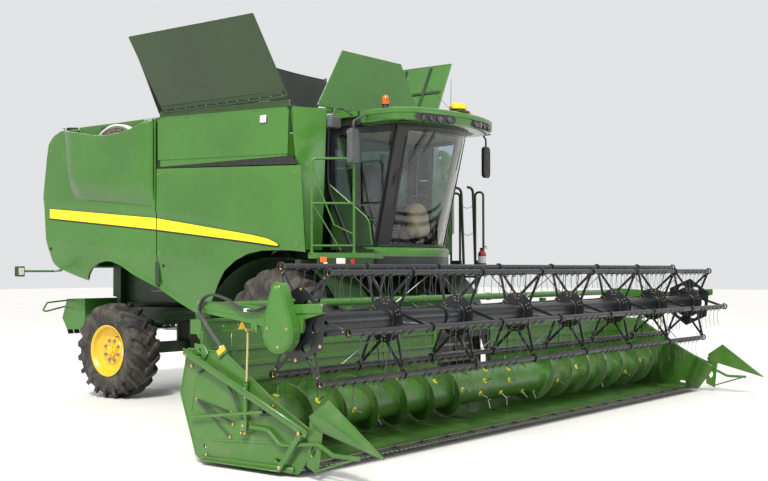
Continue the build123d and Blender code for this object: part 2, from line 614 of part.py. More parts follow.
with BuildPart() as header_auger:
    rod((-4440, *AUGER_C), (4440, *AUGER_C), AUGER_DRUM)
    for k in range(9):
        for s in (-1, 1):
            x = s * (760 + 430 * k)
            tilt = Plane(origin=(x, *AUGER_C), z_dir=(cos(radians(15)), s * sin(radians(15)), 0))
            with BuildSketch(tilt) as flight:
                Ellipse(AUGER_R / cos(radians(15)), AUGER_R) if abs(tilt.x_dir.Z) < 0.5 else Ellipse(AUGER_R, AUGER_R / cos(radians(15)))
            extrude(flight.sketch, amount=8, both=True)
save(header_auger.part, "header_auger")

# ---------------------------------------------------------------- reel
with BuildPart() as reel_arms:
    # arms run just inside the planes of the end sheets; a cross tube on the back joins them
    for s in (-1, 1):
        a, b = sorted((s * 4445, s * 4490))
        side([(-1420, 1440), (-1300, 1440), (-1300, 1560), (-1420, 1560), (-2500, 1500), (-2960, 1560), (-2960, 1470), (-2720, 1410),
              (-2700, 1290), (-2480, 1290), (-2140, 1345), (-2140, 1275), (-2060, 1275), (-2060, 1355)], a, b)
        rod((s * 4470, *REEL_LIFT_B), (s * 4535, *REEL_LIFT_B), 11)       # cylinder pin, open before the rod's eye
    rod((-4450, *REEL_TUBE), (4450, *REEL_TUBE), 42)
    # drive shield on the right arm, a drop shape
    with BuildSketch(Plane.YZ.offset(-4610)):
        with BuildLine():
            Polyline((-2330, 1330), (-2440, 1700))
            ThreePointArc((-2440, 1700), (-2500, 1745), (-2560, 1700))
            Line((-2560, 1700), (-2690, 1330))
            ThreePointArc((-2690, 1330), (-2520, 1110), (-2330, 1330))
        make_face()
    extrude(amount=118)
save(reel_arms.part, "reel_arms")


def ring_point(k, r=REEL_R):
    a = radians(REEL_PHASE + 60 * k)
    return REEL_C[0] - r * cos(a), REEL_C[1] + r * sin(a)


# the tube and eight spiders; each spider is a plate of its own, clamped on the tube
with BuildPart() as reel_tube:
    rod((-4430, *REEL_C), (4430, *REEL_C), 100)
save(reel_tube.part, "reel_tube")
with BuildPart() as reel_spiders:
    for x in SPIDER_X:
        with BuildSketch(Plane.YZ.offset(x - 8)) as star:
            with Locations(REEL_C):
                Circle(230)
            for k in range(6):
                a = radians(REEL_PHASE + 60 * k)
                with Locations(Location((REEL_C[0] - 370 * cos(a), REEL_C[1] + 370 * sin(a), 0), (0, 0, -REEL_PHASE - 60 * k))):
                    Rectangle(330, 66)
            with Locations(REEL_C):
                Circle(100.5, mode=Mode.SUBTRACT)
        extrude(star.sketch, amount=16)
save(reel_spiders.part, "reel_spiders")

for k in range(6):
    y, z = ring_point(k)
    with BuildPart() as bat:
        rod((-BAT_HALF, y, z), (BAT_HALF, y, z), BAT_R)
    save(bat.part, f"reel_bat_{k + 1}")

# ---------------------------------------------------------------- cylinders
# feeder lift: barrel on the axle ears, rod on the feeder ears (y, z)
LIFT_A, LIFT_B = (240.0, 690.0), (-1070.0, 315.0)


def cylinder_pair(xs, a, b, r_barrel, r_rod, split, eye=57):
    (ya, za), (yb, zb) = a, b
    d = Vector(0, yb - ya, zb - za)
    n, length = d.normalized(), d.length
    with BuildPart() as barrels:
        for x in xs:
            p = Vector(x, ya, za)
            rod(tuple(p - Vector(eye, 0, 0)), tuple(p + Vector(eye, 0, 0)), r_barrel * 0.9)
            rod(tuple(p), tuple(p + n * split), r_barrel)
            rod(tuple(p + n * 90), tuple(p + n * (split + 5)), r_rod + 3, mode=Mode.SUBTRACT)
    with BuildPart() as rods:
        for x in xs:
            p, q = Vector(x, ya, za), Vector(x, yb, zb)
            rod(tuple(p + n * 110), tuple(q - n * 20), r_rod)
            boss = min(28, eye)
            rod(tuple(q - Vector(boss, 0, 0)), tuple(q + Vector(boss, 0, 0)), r_rod * 1.5)
    return barrels.part, rods.part


lift_barrels, lift_rods = cylinder_pair((-430, 430), LIFT_A, LIFT_B, 55, 32, 720)
save(lift_barrels, "lift_barrels")
save(lift_rods, "lift_rods")
reel_lift_barrels, reel_lift_rods = cylinder_pair(
    (-REEL_LIFT_X, REEL_LIFT_X), REEL_LIFT_A, REEL_LIFT_B, 22, 11, 410, 20)
save(reel_lift_barrels, "reel_lift_barrels")
save(reel_lift_rods, "reel_lift_rods")

# ---------------------------------------------------------------- hoses
# two hydraulic hoses of the reel drive, held at the shield, by a clip and at the end sheet; y, z of the route
HOSE_R = 11.0
HOSE_X = (-4524.0, -4549.0)
HOSE = [(-2390, 1552), (-2240, 1500), (-2100, 1474), (-1960, 1495), (-1830, 1556), (-1690, 1612), (-1550, 1628),
        (-1440, 1570), (-1400, 1455), (-1455, 1340), (-1560, 1250), (-1650, 1175), (-1740, 1090)]


def bend_radii(points):
    """The largest arc that each corner of a route takes, with its turn."""
    radii = []
    for p, q, r in zip(points[:-2], points[1:-1], points[2:]):
        a, b = Vector(*q) - Vector(*p), Vector(*r) - Vector(*q)
        turn = radians(a.get_angle(b))
        radii.append(0.45 * min(a.length, b.length) / tan(turn / 2))
    return radii


with BuildPart() as reel_drive_hoses:
    for x in HOSE_X:
        route = [(x, y, z) for y, z in HOSE]
        radii = bend_radii(route)
        with BuildLine() as path:
            FilletPolyline(*route, radius=radii)
        with BuildSketch(Plane(origin=route[0], z_dir=Vector(*route[1]) - Vector(*route[0]))) as end:
            Circle(HOSE_R)
        sweep(end.sketch, path=path.line)
save(reel_drive_hoses.part, "reel_drive_hoses")
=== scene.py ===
import bpy, json, math
import numpy as np
from mathutils import Vector, Matrix


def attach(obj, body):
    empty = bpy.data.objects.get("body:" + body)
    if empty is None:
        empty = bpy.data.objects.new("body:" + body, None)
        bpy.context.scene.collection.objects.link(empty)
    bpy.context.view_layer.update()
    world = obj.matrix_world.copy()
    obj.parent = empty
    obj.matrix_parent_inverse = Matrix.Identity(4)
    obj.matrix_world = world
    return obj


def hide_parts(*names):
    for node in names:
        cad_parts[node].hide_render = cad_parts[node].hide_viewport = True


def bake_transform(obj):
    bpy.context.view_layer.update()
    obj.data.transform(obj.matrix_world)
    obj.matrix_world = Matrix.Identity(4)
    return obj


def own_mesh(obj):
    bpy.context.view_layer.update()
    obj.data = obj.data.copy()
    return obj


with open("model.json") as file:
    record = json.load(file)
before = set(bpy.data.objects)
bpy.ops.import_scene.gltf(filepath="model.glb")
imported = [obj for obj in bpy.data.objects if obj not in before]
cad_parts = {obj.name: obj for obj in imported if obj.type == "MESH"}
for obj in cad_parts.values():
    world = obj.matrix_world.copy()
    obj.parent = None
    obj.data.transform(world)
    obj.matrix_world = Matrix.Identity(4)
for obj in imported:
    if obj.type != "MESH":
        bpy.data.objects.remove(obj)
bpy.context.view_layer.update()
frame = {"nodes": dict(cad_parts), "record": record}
NODES = frame["nodes"]
YS = -0.865                 # the working frame's y, measured from the front axle area, to the row's y
GOLD = (math.sqrt(5) - 1) / 2
sin, cos, pi, rad = math.sin, math.cos, math.pi, math.radians


# ------------------------------------------------------------------ camera, light, floor
def camera():
    az, el, roll = rad(-52.00177), rad(1.53251), rad(-0.10432)
    fw = Vector((-sin(az) * cos(el), cos(az) * cos(el), sin(el)))
    right = fw.cross(Vector((0, 0, 1))).normalized()
    up = right.cross(fw)
    r = right * cos(roll) + up * sin(roll)
    u = -right * sin(roll) + up * cos(roll)
    cam = bpy.data.objects.new("camera", bpy.data.cameras.new("camera"))
    cam.data.sensor_fit = 'HORIZONTAL'
    cam.data.sensor_width = 36.0
    cam.data.lens = 1113.2477 / 768 * 36
    cam.data.clip_end = 400
    m = Matrix((r, u, -fw)).transposed().to_4x4()
    m.translation = Vector((-11.91874, -9.44775 + YS, 1.85234))
    cam.matrix_world = m
    bpy.context.scene.collection.objects.link(cam)
    bpy.context.scene.camera = cam
    bpy.context.scene.view_settings.view_transform = 'Standard'


def lights():
    w = bpy.data.worlds.new("studio")
    bpy.context.scene.world = w
    w.use_nodes = True
    nt = w.node_tree
    nt.nodes.clear()
    out = nt.nodes.new("ShaderNodeOutputWorld")
    bg = nt.nodes.new("ShaderNodeBackground")
    bg.inputs[0].default_value = (0.98, 0.99, 1.0, 1)
    bg.inputs[1].default_value = 0.78
    nt.links.new(bg.outputs[0], out.inputs[0])

    def area(name, at, to, size, power, color=(1, 1, 1)):
        d = bpy.data.lights.new(name, 'AREA')
        d.shape = 'RECTANGLE'
        d.size, d.size_y, d.energy, d.color = size[0], size[1], power, color
        o = bpy.data.objects.new(name, d)
        o.location = Vector(at)
        o.rotation_euler = (Vector(to) - Vector(at)).to_track_quat('-Z', 'Y').to_euler()
        bpy.context.scene.collection.objects.link(o)

    area("key_light", (-16, -7, 15), (0, 0, 1.8), (9, 9), 2600, (1.0, 0.97, 0.92))
    area("front_fill", (6, -22, 7), (0, -2, 1.2), (12, 6), 500, (0.95, 0.97, 1.0))
    area("rear_rim", (10, 16, 11), (0, 1, 3), (9, 6), 900)
    sun = bpy.data.lights.new("sun", 'SUN')
    sun.energy, sun.angle, sun.color = 2.5, rad(6), (1.0, 0.96, 0.88)
    so = bpy.data.objects.new("sun", sun)
    so.rotation_euler = Vector((0.72, 0.42, -1.0)).to_track_quat('-Z', 'Y').to_euler()
    bpy.context.scene.collection.objects.link(so)


# ------------------------------------------------------------------ materials
MATS = {}


def nodes_of(name):
    m = bpy.data.materials.new(name)
    m.use_nodes = True
    nt = m.node_tree
    nt.nodes.clear()
    out = nt.nodes.new("ShaderNodeOutputMaterial")
    b = nt.nodes.new("ShaderNodeBsdfPrincipled")
    nt.links.new(b.outputs[0], out.inputs[0])
    tc = nt.nodes.new("ShaderNodeTexCoord")
    MATS[name] = m
    return m, nt, b, tc.outputs["Object"]


def noise(nt, co, scale, detail=3.0, rough=0.5, dist=0.0, stretch=None):
    if stretch:
        mp = nt.nodes.new("ShaderNodeMapping")
        mp.inputs["Scale"].default_value = stretch
        nt.links.new(co, mp.inputs[0])
        co = mp.outputs[0]
    n = nt.nodes.new("ShaderNodeTexNoise")
    n.inputs["Scale"].default_value = scale
    n.inputs["Detail"].default_value = detail
    n.inputs["Roughness"].default_value = rough
    n.inputs["Distortion"].default_value = dist
    nt.links.new(co, n.inputs["Vector"])
    return n.outputs["Fac"]


def remap(nt, fac, a, b, lo, hi):
    n = nt.nodes.new("ShaderNodeMapRange")
    n.interpolation_type = 'SMOOTHSTEP'
    n.inputs["From Min"].default_value, n.inputs["From Max"].default_value = a, b
    n.inputs["To Min"].default_value, n.inputs["To Max"].default_value = lo, hi
    nt.links.new(fac, n.inputs["Value"])
    return n.outputs[0]


def mixc(nt, fac, a, b):
    n = nt.nodes.new("ShaderNodeMix")
    n.data_type = 'RGBA'
    if hasattr(fac, "links"):
        nt.links.new(fac, n.inputs[0])
    else:
        n.inputs[0].default_value = fac
    for s, v in ((6, a), (7, b)):
        if hasattr(v, "links"):
            nt.links.new(v, n.inputs[s])
        else:
            n.inputs[s].default_value = (*v, 1)
    return n.outputs[2]


def math_(nt, op, a, b):
    n = nt.nodes.new("ShaderNodeMath")
    n.operation = op
    for i, v in enumerate((a, b)):
        if hasattr(v, "links"):
            nt.links.new(v, n.inputs[i])
        else:
            n.inputs[i].default_value = v
    return n.outputs[0]


def bump(nt, b, layers):
    """Chained bumps: (height, strength, distance in metres)."""
    last = None
    for h, s, d in layers:
        n = nt.nodes.new("ShaderNodeBump")
        n.inputs["Strength"].default_value = s
        n.inputs["Distance"].default_value = d
        nt.links.new(h, n.inputs["Height"])
        if last is not None:
            nt.links.new(last, n.inputs["Normal"])
        last = n.outputs[0]
    nt.links.new(last, b.inputs["Normal"])


def height_z(nt, co):
    s = nt.nodes.new("ShaderNodeSeparateXYZ")
    nt.links.new(co, s.inputs[0])
    return s.outputs


def up_facing(nt):
    g = nt.nodes.new("ShaderNodeNewGeometry")
    s = nt.nodes.new("ShaderNodeSeparateXYZ")
    nt.links.new(g.outputs["Normal"], s.inputs[0])
    return s.outputs["Z"]


def paint(name, col, rough=0.28, coat=0.5, dust=0.35, dust_col=(0.30, 0.25, 0.17), dark=0.8, metal=0.0, peel=0.03,
          wave=0.06, chip=None):
    """Enamel on sheet metal: slow colour drift, dust on what faces up or lies low, fine scratches, slight waviness."""
    m, nt, b, co = nodes_of(name)
    drift = remap(nt, noise(nt, co, 0.9, 4), 0.3, 0.7, 0.0, 1.0)
    fine = remap(nt, noise(nt, co, 9.0, 6, 0.62), 0.35, 0.7, 0.0, 1.0)
    c = mixc(nt, drift, tuple(v * dark for v in col), col)
    c = mixc(nt, math_(nt, 'MULTIPLY', fine, 0.18), c, tuple(min(1, v * 1.25 + 0.01) for v in col))
    xyz = height_z(nt, co)
    low = remap(nt, xyz[2], 0.15, 1.5, 1.0, 0.0)
    up = remap(nt, up_facing(nt), 0.35, 1.0, 0.0, 0.55)
    cloud = remap(nt, noise(nt, co, 3.1, 7, 0.66, 0.4), 0.42, 0.78, 0.0, 1.0)
    streak = remap(nt, noise(nt, co, 5.0, 4, 0.6, 0.0, (6.0, 6.0, 0.55)), 0.5, 0.85, 0.0, 0.5)
    d = math_(nt, 'MULTIPLY', math_(nt, 'ADD', math_(nt, 'MAXIMUM', low, up), math_(nt, 'MULTIPLY', streak, 0.35)),
              math_(nt, 'MULTIPLY', cloud, dust))
    c = mixc(nt, d, c, dust_col)
    if chip:
        spots = remap(nt, noise(nt, co, 38.0, 3, 0.7), 0.715, 0.74, 0.0, 1.0)
        where = remap(nt, noise(nt, co, 2.3, 3), 0.5, 0.62, 0.0, 1.0)
        c = mixc(nt, math_(nt, 'MULTIPLY', spots, where), c, chip)
    nt.links.new(c, b.inputs["Base Color"])
    scr = noise(nt, co, 60.0, 4, 0.7, 0.2, (1.0, 0.25, 3.0))
    r = math_(nt, 'ADD', remap(nt, scr, 0.3, 0.8, rough * 0.75, rough * 1.35), math_(nt, 'MULTIPLY', d, 0.45))
    nt.links.new(r, b.inputs["Roughness"])
    b.inputs["Metallic"].default_value = metal
    b.inputs["Coat Weight"].default_value = coat
    b.inputs["Coat Roughness"].default_value = 0.12
    bump(nt, b, [(noise(nt, co, 1.7, 2), wave, 0.02), (noise(nt, co, 260.0, 2), peel, 0.001), (cloud, 0.05, 0.0008)])
    return m


def materials():
    paint("green_paint", (0.048, 0.165, 0.020), dust=0.08, coat=0.3)
    paint("green_header", (0.046, 0.150, 0.018), rough=0.36, dust=0.24, chip=(0.22, 0.2, 0.16), coat=0.25)
    # a much darker copy of the green paint, painted shade on parts under, inside and behind the body
    paint("dark_green_paint", (0.010, 0.040, 0.008), rough=0.45, coat=0.12, dust=0.25)
    # a darker copy of the green paint, painted shade on faces turned away from the light
    paint("painted_shade_green", (0.016, 0.046, 0.006), rough=0.4, coat=0.2, dust=0.12)
    paint("yellow_paint", (0.74, 0.44, 0.008), rough=0.32, coat=0.35, dust=0.35, dark=0.9, chip=(0.3, 0.2, 0.1))
    paint("stripe_yellow", (0.95, 0.70, 0.004), rough=0.3, coat=0.3, dust=0.1, dark=0.95, wave=0.0)
    paint("stripe_black", (0.006, 0.006, 0.006), rough=0.3, coat=0.3, dust=0.1, wave=0.0)
    paint("black_paint", (0.007, 0.008, 0.011), rough=0.34, coat=0.2, dust=0.14, chip=(0.22, 0.22, 0.21), peel=0.05)
    paint("grey_paint", (0.20, 0.205, 0.21), rough=0.4, coat=0.1, dust=0.25)
    paint("red_paint", (0.55, 0.012, 0.012), rough=0.25, coat=0.6, dust=0.1)
    paint("white_paint", (0.72, 0.72, 0.70), rough=0.35, coat=0.3, dust=0.2)

    # tyre rubber: dusty lug faces, radial scuffs
    m, nt, b, co = nodes_of("tyre_rubber")
    cl = remap(nt, noise(nt, co, 5.0, 7, 0.7, 0.5), 0.38, 0.72, 0.0, 1.0)
    fi = remap(nt, noise(nt, co, 42.0, 5, 0.7), 0.35, 0.75, 0.0, 1.0)
    c = mixc(nt, cl, (0.016, 0.016, 0.016), (0.062, 0.058, 0.050))
    c = mixc(nt, math_(nt, 'MULTIPLY', fi, math_(nt, 'MULTIPLY', cl, 0.55)), c, (0.20, 0.165, 0.11))
    nt.links.new(c, b.inputs["Base Color"])
    nt.links.new(remap(nt, fi, 0, 1, 0.62, 0.9), b.inputs["Roughness"])
    bump(nt, b, [(noise(nt, co, 14, 5, 0.7), 0.25, 0.004), (noise(nt, co, 190, 3), 0.3, 0.0012)])

    def plastic(name, col, rough, grain=420.0, bmp=0.18, dust=0.2):
        m, nt, b, co = nodes_of(name)
        v = remap(nt, noise(nt, co, 2.4, 5, 0.6), 0.3, 0.72, 0.0, 1.0)
        f = remap(nt, noise(nt, co, 26.0, 5, 0.7), 0.5, 0.8, 0.0, dust)
        c = mixc(nt, v, tuple(x * 0.75 for x in col), col)
        c = mixc(nt, f, c, (0.28, 0.25, 0.2))
        nt.links.new(c, b.inputs["Base Color"])
        nt.links.new(remap(nt, noise(nt, co, 17, 5, 0.7), 0.3, 0.8, rough * 0.8, min(1, rough * 1.3)), b.inputs["Roughness"])
        bump(nt, b, [(noise(nt, co, grain, 2), bmp, 0.0008)])
        return m

    plastic("black_plastic", (0.014, 0.014, 0.015), 0.42)
    plastic("grey_plastic", (0.085, 0.09, 0.095), 0.38)
    plastic("hose_rubber", (0.030, 0.034, 0.038), 0.42, 900, 0.3, 0.3)
    plastic("tan_trim", (0.30, 0.225, 0.12), 0.5, 300, 0.1, 0.1)
    plastic("console", (0.045, 0.046, 0.046), 0.5)
    plastic("orange_lens", (0.85, 0.16, 0.01), 0.12, 90, 0.05, 0.05)
    plastic("red_lens", (0.55, 0.012, 0.012), 0.12, 90, 0.05, 0.05)
    plastic("dome_yellow", (0.93, 0.62, 0.006), 0.3, 200, 0.05, 0.08)
    plastic("finger_yellow", (0.62, 0.60, 0.02), 0.35, 200, 0.05, 0.25)
    MATS["orange_lens"].node_tree.nodes["Principled BSDF"].inputs["Coat Weight"].default_value = 0.8

    def metal(name, col, rough, scr=(1, 1, 1), dirt=0.25, dirt_col=(0.12, 0.09, 0.06), mt=1.0):
        m, nt, b, co = nodes_of(name)
        v = remap(nt, noise(nt, co, 7.0, 6, 0.65), 0.42, 0.8, 0.0, dirt)
        s = noise(nt, co, 120.0, 4, 0.7, 0.0, scr)
        c = mixc(nt, remap(nt, s, 0.3, 0.7, 0, 1), tuple(x * 0.82 for x in col), col)
        c = mixc(nt, v, c, dirt_col)
        nt.links.new(c, b.inputs["Base Color"])
        nt.links.new(math_(nt, 'ADD', remap(nt, s, 0.3, 0.8, rough * 0.7, rough * 1.4), math_(nt, 'MULTIPLY', v, 0.5)), b.inputs["Roughness"])
        b.inputs["Metallic"].default_value = mt
        bump(nt, b, [(s, 0.06, 0.0006)])
        return m

    metal("steel", (0.50, 0.49, 0.47), 0.32)
    metal("chrome_rod", (0.74, 0.70, 0.60), 0.12, (1, 1, 6), 0.1)
    metal("tine_steel", (0.16, 0.16, 0.165), 0.35)
    metal("zinc_gold", (0.72, 0.55, 0.26), 0.28, dirt=0.2)
    metal("lamp_reflector", (0.86, 0.88, 0.9), 0.08, dirt=0.05)
    metal("cast_engine", (0.12, 0.12, 0.12), 0.55, dirt=0.5, mt=0.6)
    metal("worn_steel", (0.42, 0.37, 0.30), 0.4, dirt=0.6, dirt_col=(0.16, 0.08, 0.035))

    # woven cloth
    def cloth(name, col, scale, rough=0.85, sheen=0.2):
        m, nt, b, co = nodes_of(name)
        mp = nt.nodes.new("ShaderNodeMapping")
        mp.inputs["Scale"].default_value = (scale, scale, scale)
        nt.links.new(co, mp.inputs[0])
        ws = []
        for d in ('X', 'Z'):
            w = nt.nodes.new("ShaderNodeTexWave")
            w.bands_direction = d
            w.inputs["Scale"].default_value = 1.0
            w.inputs["Distortion"].default_value = 0.3
            nt.links.new(mp.outputs[0], w.inputs["Vector"])
            ws.append(w.outputs["Fac"])
        weave = math_(nt, 'MULTIPLY', ws[0], ws[1])
        v = remap(nt, noise(nt, co, 3.0, 5, 0.6), 0.35, 0.7, 0.0, 1.0)
        c = mixc(nt, v, tuple(x * 0.65 for x in col), col)
        c = mixc(nt, math_(nt, 'MULTIPLY', weave, 0.35), c, tuple(min(1, x * 1.8 + 0.01) for x in col))
        nt.links.new(c, b.inputs["Base Color"])
        nt.links.new(remap(nt, v, 0, 1, rough * 0.85, rough), b.inputs["Roughness"])
        b.inputs["Sheen Weight"].default_value = sheen
        bump(nt, b, [(noise(nt, co, 6.0, 4, 0.6), 0.35, 0.012), (weave, 0.25, 0.001)])
        return m

    cloth("canvas", (0.012, 0.013, 0.014), 240, 0.75)
    cloth("seat_fabric", (0.07, 0.065, 0.058), 420)

    # glass: clear, lightly tinted, with faint film
    def glass(name, col, alpha, rough=0.03):
        m, nt, b, co = nodes_of(name)
        film = remap(nt, noise(nt, co, 2.1, 5, 0.6), 0.4, 0.8, 0.0, 1.0)
        c = mixc(nt, film, col, tuple(min(1, v * 1.25 + 0.03) for v in col))
        nt.links.new(c, b.inputs["Base Color"])
        b.inputs["Transmission Weight"].default_value = 1.0
        b.inputs["IOR"].default_value = 1.08
        b.inputs["Coat Weight"].default_value = 1.0
        b.inputs["Coat Roughness"].default_value = 0.02
        nt.links.new(remap(nt, film, 0, 1, rough, rough + 0.06), b.inputs["Roughness"])
        bump(nt, b, [(noise(nt, co, 1.3, 2), 0.03, 0.01)])
        m.blend_method = 'HASHED' if hasattr(m, 'blend_method') else None
        return m

    glass("tinted_glass", (0.80, 0.90, 0.93), 0.3)
    glass("side_glass", (0.42, 0.50, 0.60), 0.5)
    glass("lamp_glass", (0.95, 0.97, 1.0), 0.3)
    glass("clear_vinyl", (0.75, 0.82, 0.84), 0.4, 0.12)

    # pale floor
    m, nt, b, co = nodes_of("floor")
    c = mixc(nt, remap(nt, noise(nt, co, 0.6, 5), 0.3, 0.7, 0, 1), (0.70, 0.70, 0.69), (0.74, 0.74, 0.73))
    nt.links.new(c, b.inputs["Base Color"])
    b.inputs["Roughness"].default_value = 0.75
    bump(nt, b, [(noise(nt, co, 30, 5, 0.7), 0.05, 0.002)])


# ------------------------------------------------------------------ mesh building
class Kit:
    """Gathers many small shapes, in the working frame, into one mesh."""

    def __init__(self, mat="green_paint"):
        self.v, self.f, self.m, self.mats = [], [], [], []
        self.n = 0
        self.use(mat)

    def use(self, mat):
        if mat not in self.mats:
            self.mats.append(mat)
        self.cur = self.mats.index(mat)
        return self

    def add(self, verts, faces):
        verts = np.asarray(verts, float).reshape(-1, 3)
        self.v.append(verts)
        for f in faces:
            self.f.append(tuple(int(i) + self.n for i in f))
            self.m.append(self.cur)
        self.n += len(verts)

    def obox(self, c, ax, ay, az, bev=0.0):
        """Box about c with half-extent vectors; bev chamfers all edges."""
        c, ax, ay, az = (np.asarray(v, float) for v in (c, ax, ay, az))
        if bev <= 0:
            P = [c + i * ax + j * ay + k * az for k in (-1, 1) for j in (-1, 1) for i in (-1, 1)]
            self.add(P, [(0, 2, 3, 1), (4, 5, 7, 6), (0, 1, 5, 4), (2, 6, 7, 3), (0, 4, 6, 2), (1, 3, 7, 5)])
            return
        la, lb, lc = (np.linalg.norm(v) for v in (ax, ay, az))
        b = min(bev, 0.45 * min(la, lb, lc) * 2)
        sa, sb, sc = 1 - b / la, 1 - b / lb, 1 - b / lc
        P, idx = [], {}
        for i in (-1, 1):
            for j in (-1, 1):
                for k in (-1, 1):
                    for t, w in enumerate(((1, sb, sc), (sa, 1, sc), (sa, sb, 1))):
                        idx[(i, j, k, t)] = len(P)
                        P.append(c + ax * i * w[0] + ay * j * w[1] + az * k * w[2])
        F = []
        for s in (-1, 1):
            q = [(-1, -1), (1, -1), (1, 1), (-1, 1)]
            F.append([idx[(s, a, b_, 0)] for a, b_ in q][::s])
            F.append([idx[(b_, s, a, 1)] for a, b_ in q][::s])
            F.append([idx[(a, b_, s, 2)] for a, b_ in q][::s])
        for a in (-1, 1):
            for b_ in (-1, 1):
                F.append([idx[(a, b_, -1, 0)], idx[(a, b_, 1, 0)], idx[(a, b_, 1, 1)], idx[(a, b_, -1, 1)]][::-1 if a * b_ > 0 else 1])
                F.append([idx[(-1, a, b_, 1)], idx[(1, a, b_, 1)], idx[(1, a, b_, 2)], idx[(-1, a, b_, 2)]][::-1 if a * b_ > 0 else 1])
                F.append([idx[(b_, -1, a, 2)], idx[(b_, 1, a, 2)], idx[(b_, 1, a, 0)], idx[(b_, -1, a, 0)]][::-1 if a * b_ > 0 else 1])
        for i in (-1, 1):
            for j in (-1, 1):
                for k in (-1, 1):
                    t = [idx[(i, j, k, 0)], idx[(i, j, k, 1)], idx[(i, j, k, 2)]]
                    F.append(t if i * j * k > 0 else t[::-1])
        self.add(P, F)

    def box(self, x0, x1, y0, y1, z0, z1, bev=0.004):
        self.obox(((x0 + x1) / 2, (y0 + y1) / 2, (z0 + z1) / 2), ((x1 - x0) / 2, 0, 0), (0, (y1 - y0) / 2, 0),
                  (0, 0, (z1 - z0) / 2), bev)

    def beam(self, p, q, w, h, up=(0, 0, 1), bev=0.004):
        p, q = np.asarray(p, float), np.asarray(q, float)
        d = q - p
        L = np.linalg.norm(d)
        d = d / L
        s = np.cross(d, np.asarray(up, float))
        s /= np.linalg.norm(s)
        t = np.cross(s, d)
        self.obox((p + q) / 2, d * L / 2, s * w / 2, t * h / 2, bev)

    def tube(self, pts, r, seg=10, bend=0.0, cap=True, closed=False, rad_fn=None, flat=None):
        pts = [np.asarray(p, float) for p in pts]
        if bend > 0 and len(pts) > 2:
            pts = fillet(pts, bend)
        P, N = len(pts), seg
        tang = []
        for i in range(P):
            if closed:
                t = pts[(i + 1) % P] - pts[i - 1]
            else:
                t = pts[min(i + 1, P - 1)] - pts[max(i - 1, 0)]
            tang.append(t / (np.linalg.norm(t) + 1e-12))
        ref = np.array((0, 0, 1.0)) if abs(tang[0][2]) < 0.9 else np.array((1.0, 0, 0))
        u = np.cross(tang[0], ref)
        u /= np.linalg.norm(u)
        V = []
        for i in range(P):
            t = tang[i]
            u = u - t * np.dot(u, t)
            u /= np.linalg.norm(u)
            w = np.cross(t, u)
            rr = r if rad_fn is None else rad_fn(i / max(1, P - 1)) * r
            for k in range(N):
                a = 2 * pi * k / N
                V.append(pts[i] + u * rr * cos(a) + w * rr * sin(a) * (flat or 1.0))
        F = []
        for i in range(P - (0 if closed else 1)):
            j = (i + 1) % P
            for k in range(N):
                a, b = i * N + k, i * N + (k + 1) % N
                c, d = j * N + (k + 1) % N, j * N + k
                F.append((a, b, c, d))
        if cap and not closed:
            F.append(tuple(range(N))[::-1])
            F.append(tuple((P - 1) * N + k for k in range(N)))
        self.add(V, F)

    def rod(self, p, q, r, seg=14, r2=None):
        self.tube([p, q], r, seg, rad_fn=(lambda t: 1 + (r2 / r - 1) * t) if r2 is not None else None)

    def lathe(self, o, axis, prof, seg=32, ref=None, arc=None):
        """Profile of (distance along axis, radius) turned about the axis through o; a radius of 0 closes."""
        o, a = np.asarray(o, float), np.asarray(axis, float)
        a = a / np.linalg.norm(a)
        r0 = np.asarray(ref if ref is not None else ((0, 0, 1) if abs(a[2]) < 0.9 else (1, 0, 0)), float)
        u = r0 - a * np.dot(r0, a)
        u /= np.linalg.norm(u)
        w = np.cross(a, u)
        V, rows = [], []
        n0 = 0
        for t, r in prof:
            if r <= 1e-9:
                V.append(o + a * t)
                rows.append([n0] * seg)
                n0 += 1
            else:
                for k in range(seg):
                    an = 2 * pi * k / seg
                    V.append(o + a * t + u * r * cos(an) + w * r * sin(an))
                rows.append(list(range(n0, n0 + seg)))
                n0 += seg
        F = []
        for A, B in zip(rows[:-1], rows[1:]):
            for k in range(seg):
                l = (k + 1) % seg
                q = [A[k], A[l], B[l], B[k]]
                q = [v for i, v in enumerate(q) if v != q[i - 1]]
                if len(q) > 2:
                    F.append(tuple(q))
        self.add(V, F)

    def bolt(self, p, n, r=0.011, h=0.008, washer=True):
        n = np.asarray(n, float)
        if washer:
            self.lathe(p, n, [(-0.001, r * 1.55), (0.0018, r * 1.55), (0.0018, 0)], 12)
        self.lathe(p, n, [(0, r), (h * 0.8, r), (h, r * 0.8), (h, 0)], 6)

    def plate(self, poly, to3, n, thick, bev=0.0, holes=()):
        """Extruded flat plate: poly is 2-D, to3 maps (u, v) to 3-D, n is the unit normal. Holes are 2-D loops."""
        n = np.asarray(n, float)
        loops = [list(poly)] + [list(h) for h in holes]
        tri = tess(loops)
        flat = [p for lp in loops for p in lp]
        P3 = np.array([to3(*p) for p in flat])
        h = thick / 2
        if bev <= 0:
            V = np.vstack((P3 + n * h, P3 - n * h))
            m = len(flat)
            F = [tuple(t) for t in tri] + [tuple(i + m for i in t[::-1]) for t in tri]
            s = 0
            for lp in loops:
                L = len(lp)
                for i in range(L):
                    a, b = s + i, s + (i + 1) % L
                    F.append((a + m, b + m, b, a))
                s += L
            self.add(V, F)
            return
        ins = inset_loops(loops, bev)
        I3 = np.array([to3(*p) for lp in ins for p in lp])
        V = np.vstack((I3 + n * h, P3 + n * (h - bev), P3 - n * (h - bev), I3 - n * h))
        m = len(flat)
        F = [tuple(t) for t in tri] + [tuple(i + 3 * m for i in t[::-1]) for t in tri]
        s = 0
        for lp in loops:
            L = len(lp)
            for i in range(L):
                a, b = s + i, s + (i + 1) % L
                for k in range(3):
                    F.append((a + (k + 1) * m, b + (k + 1) * m, b + k * m, a + k * m))
            s += L
        self.add(V, F)

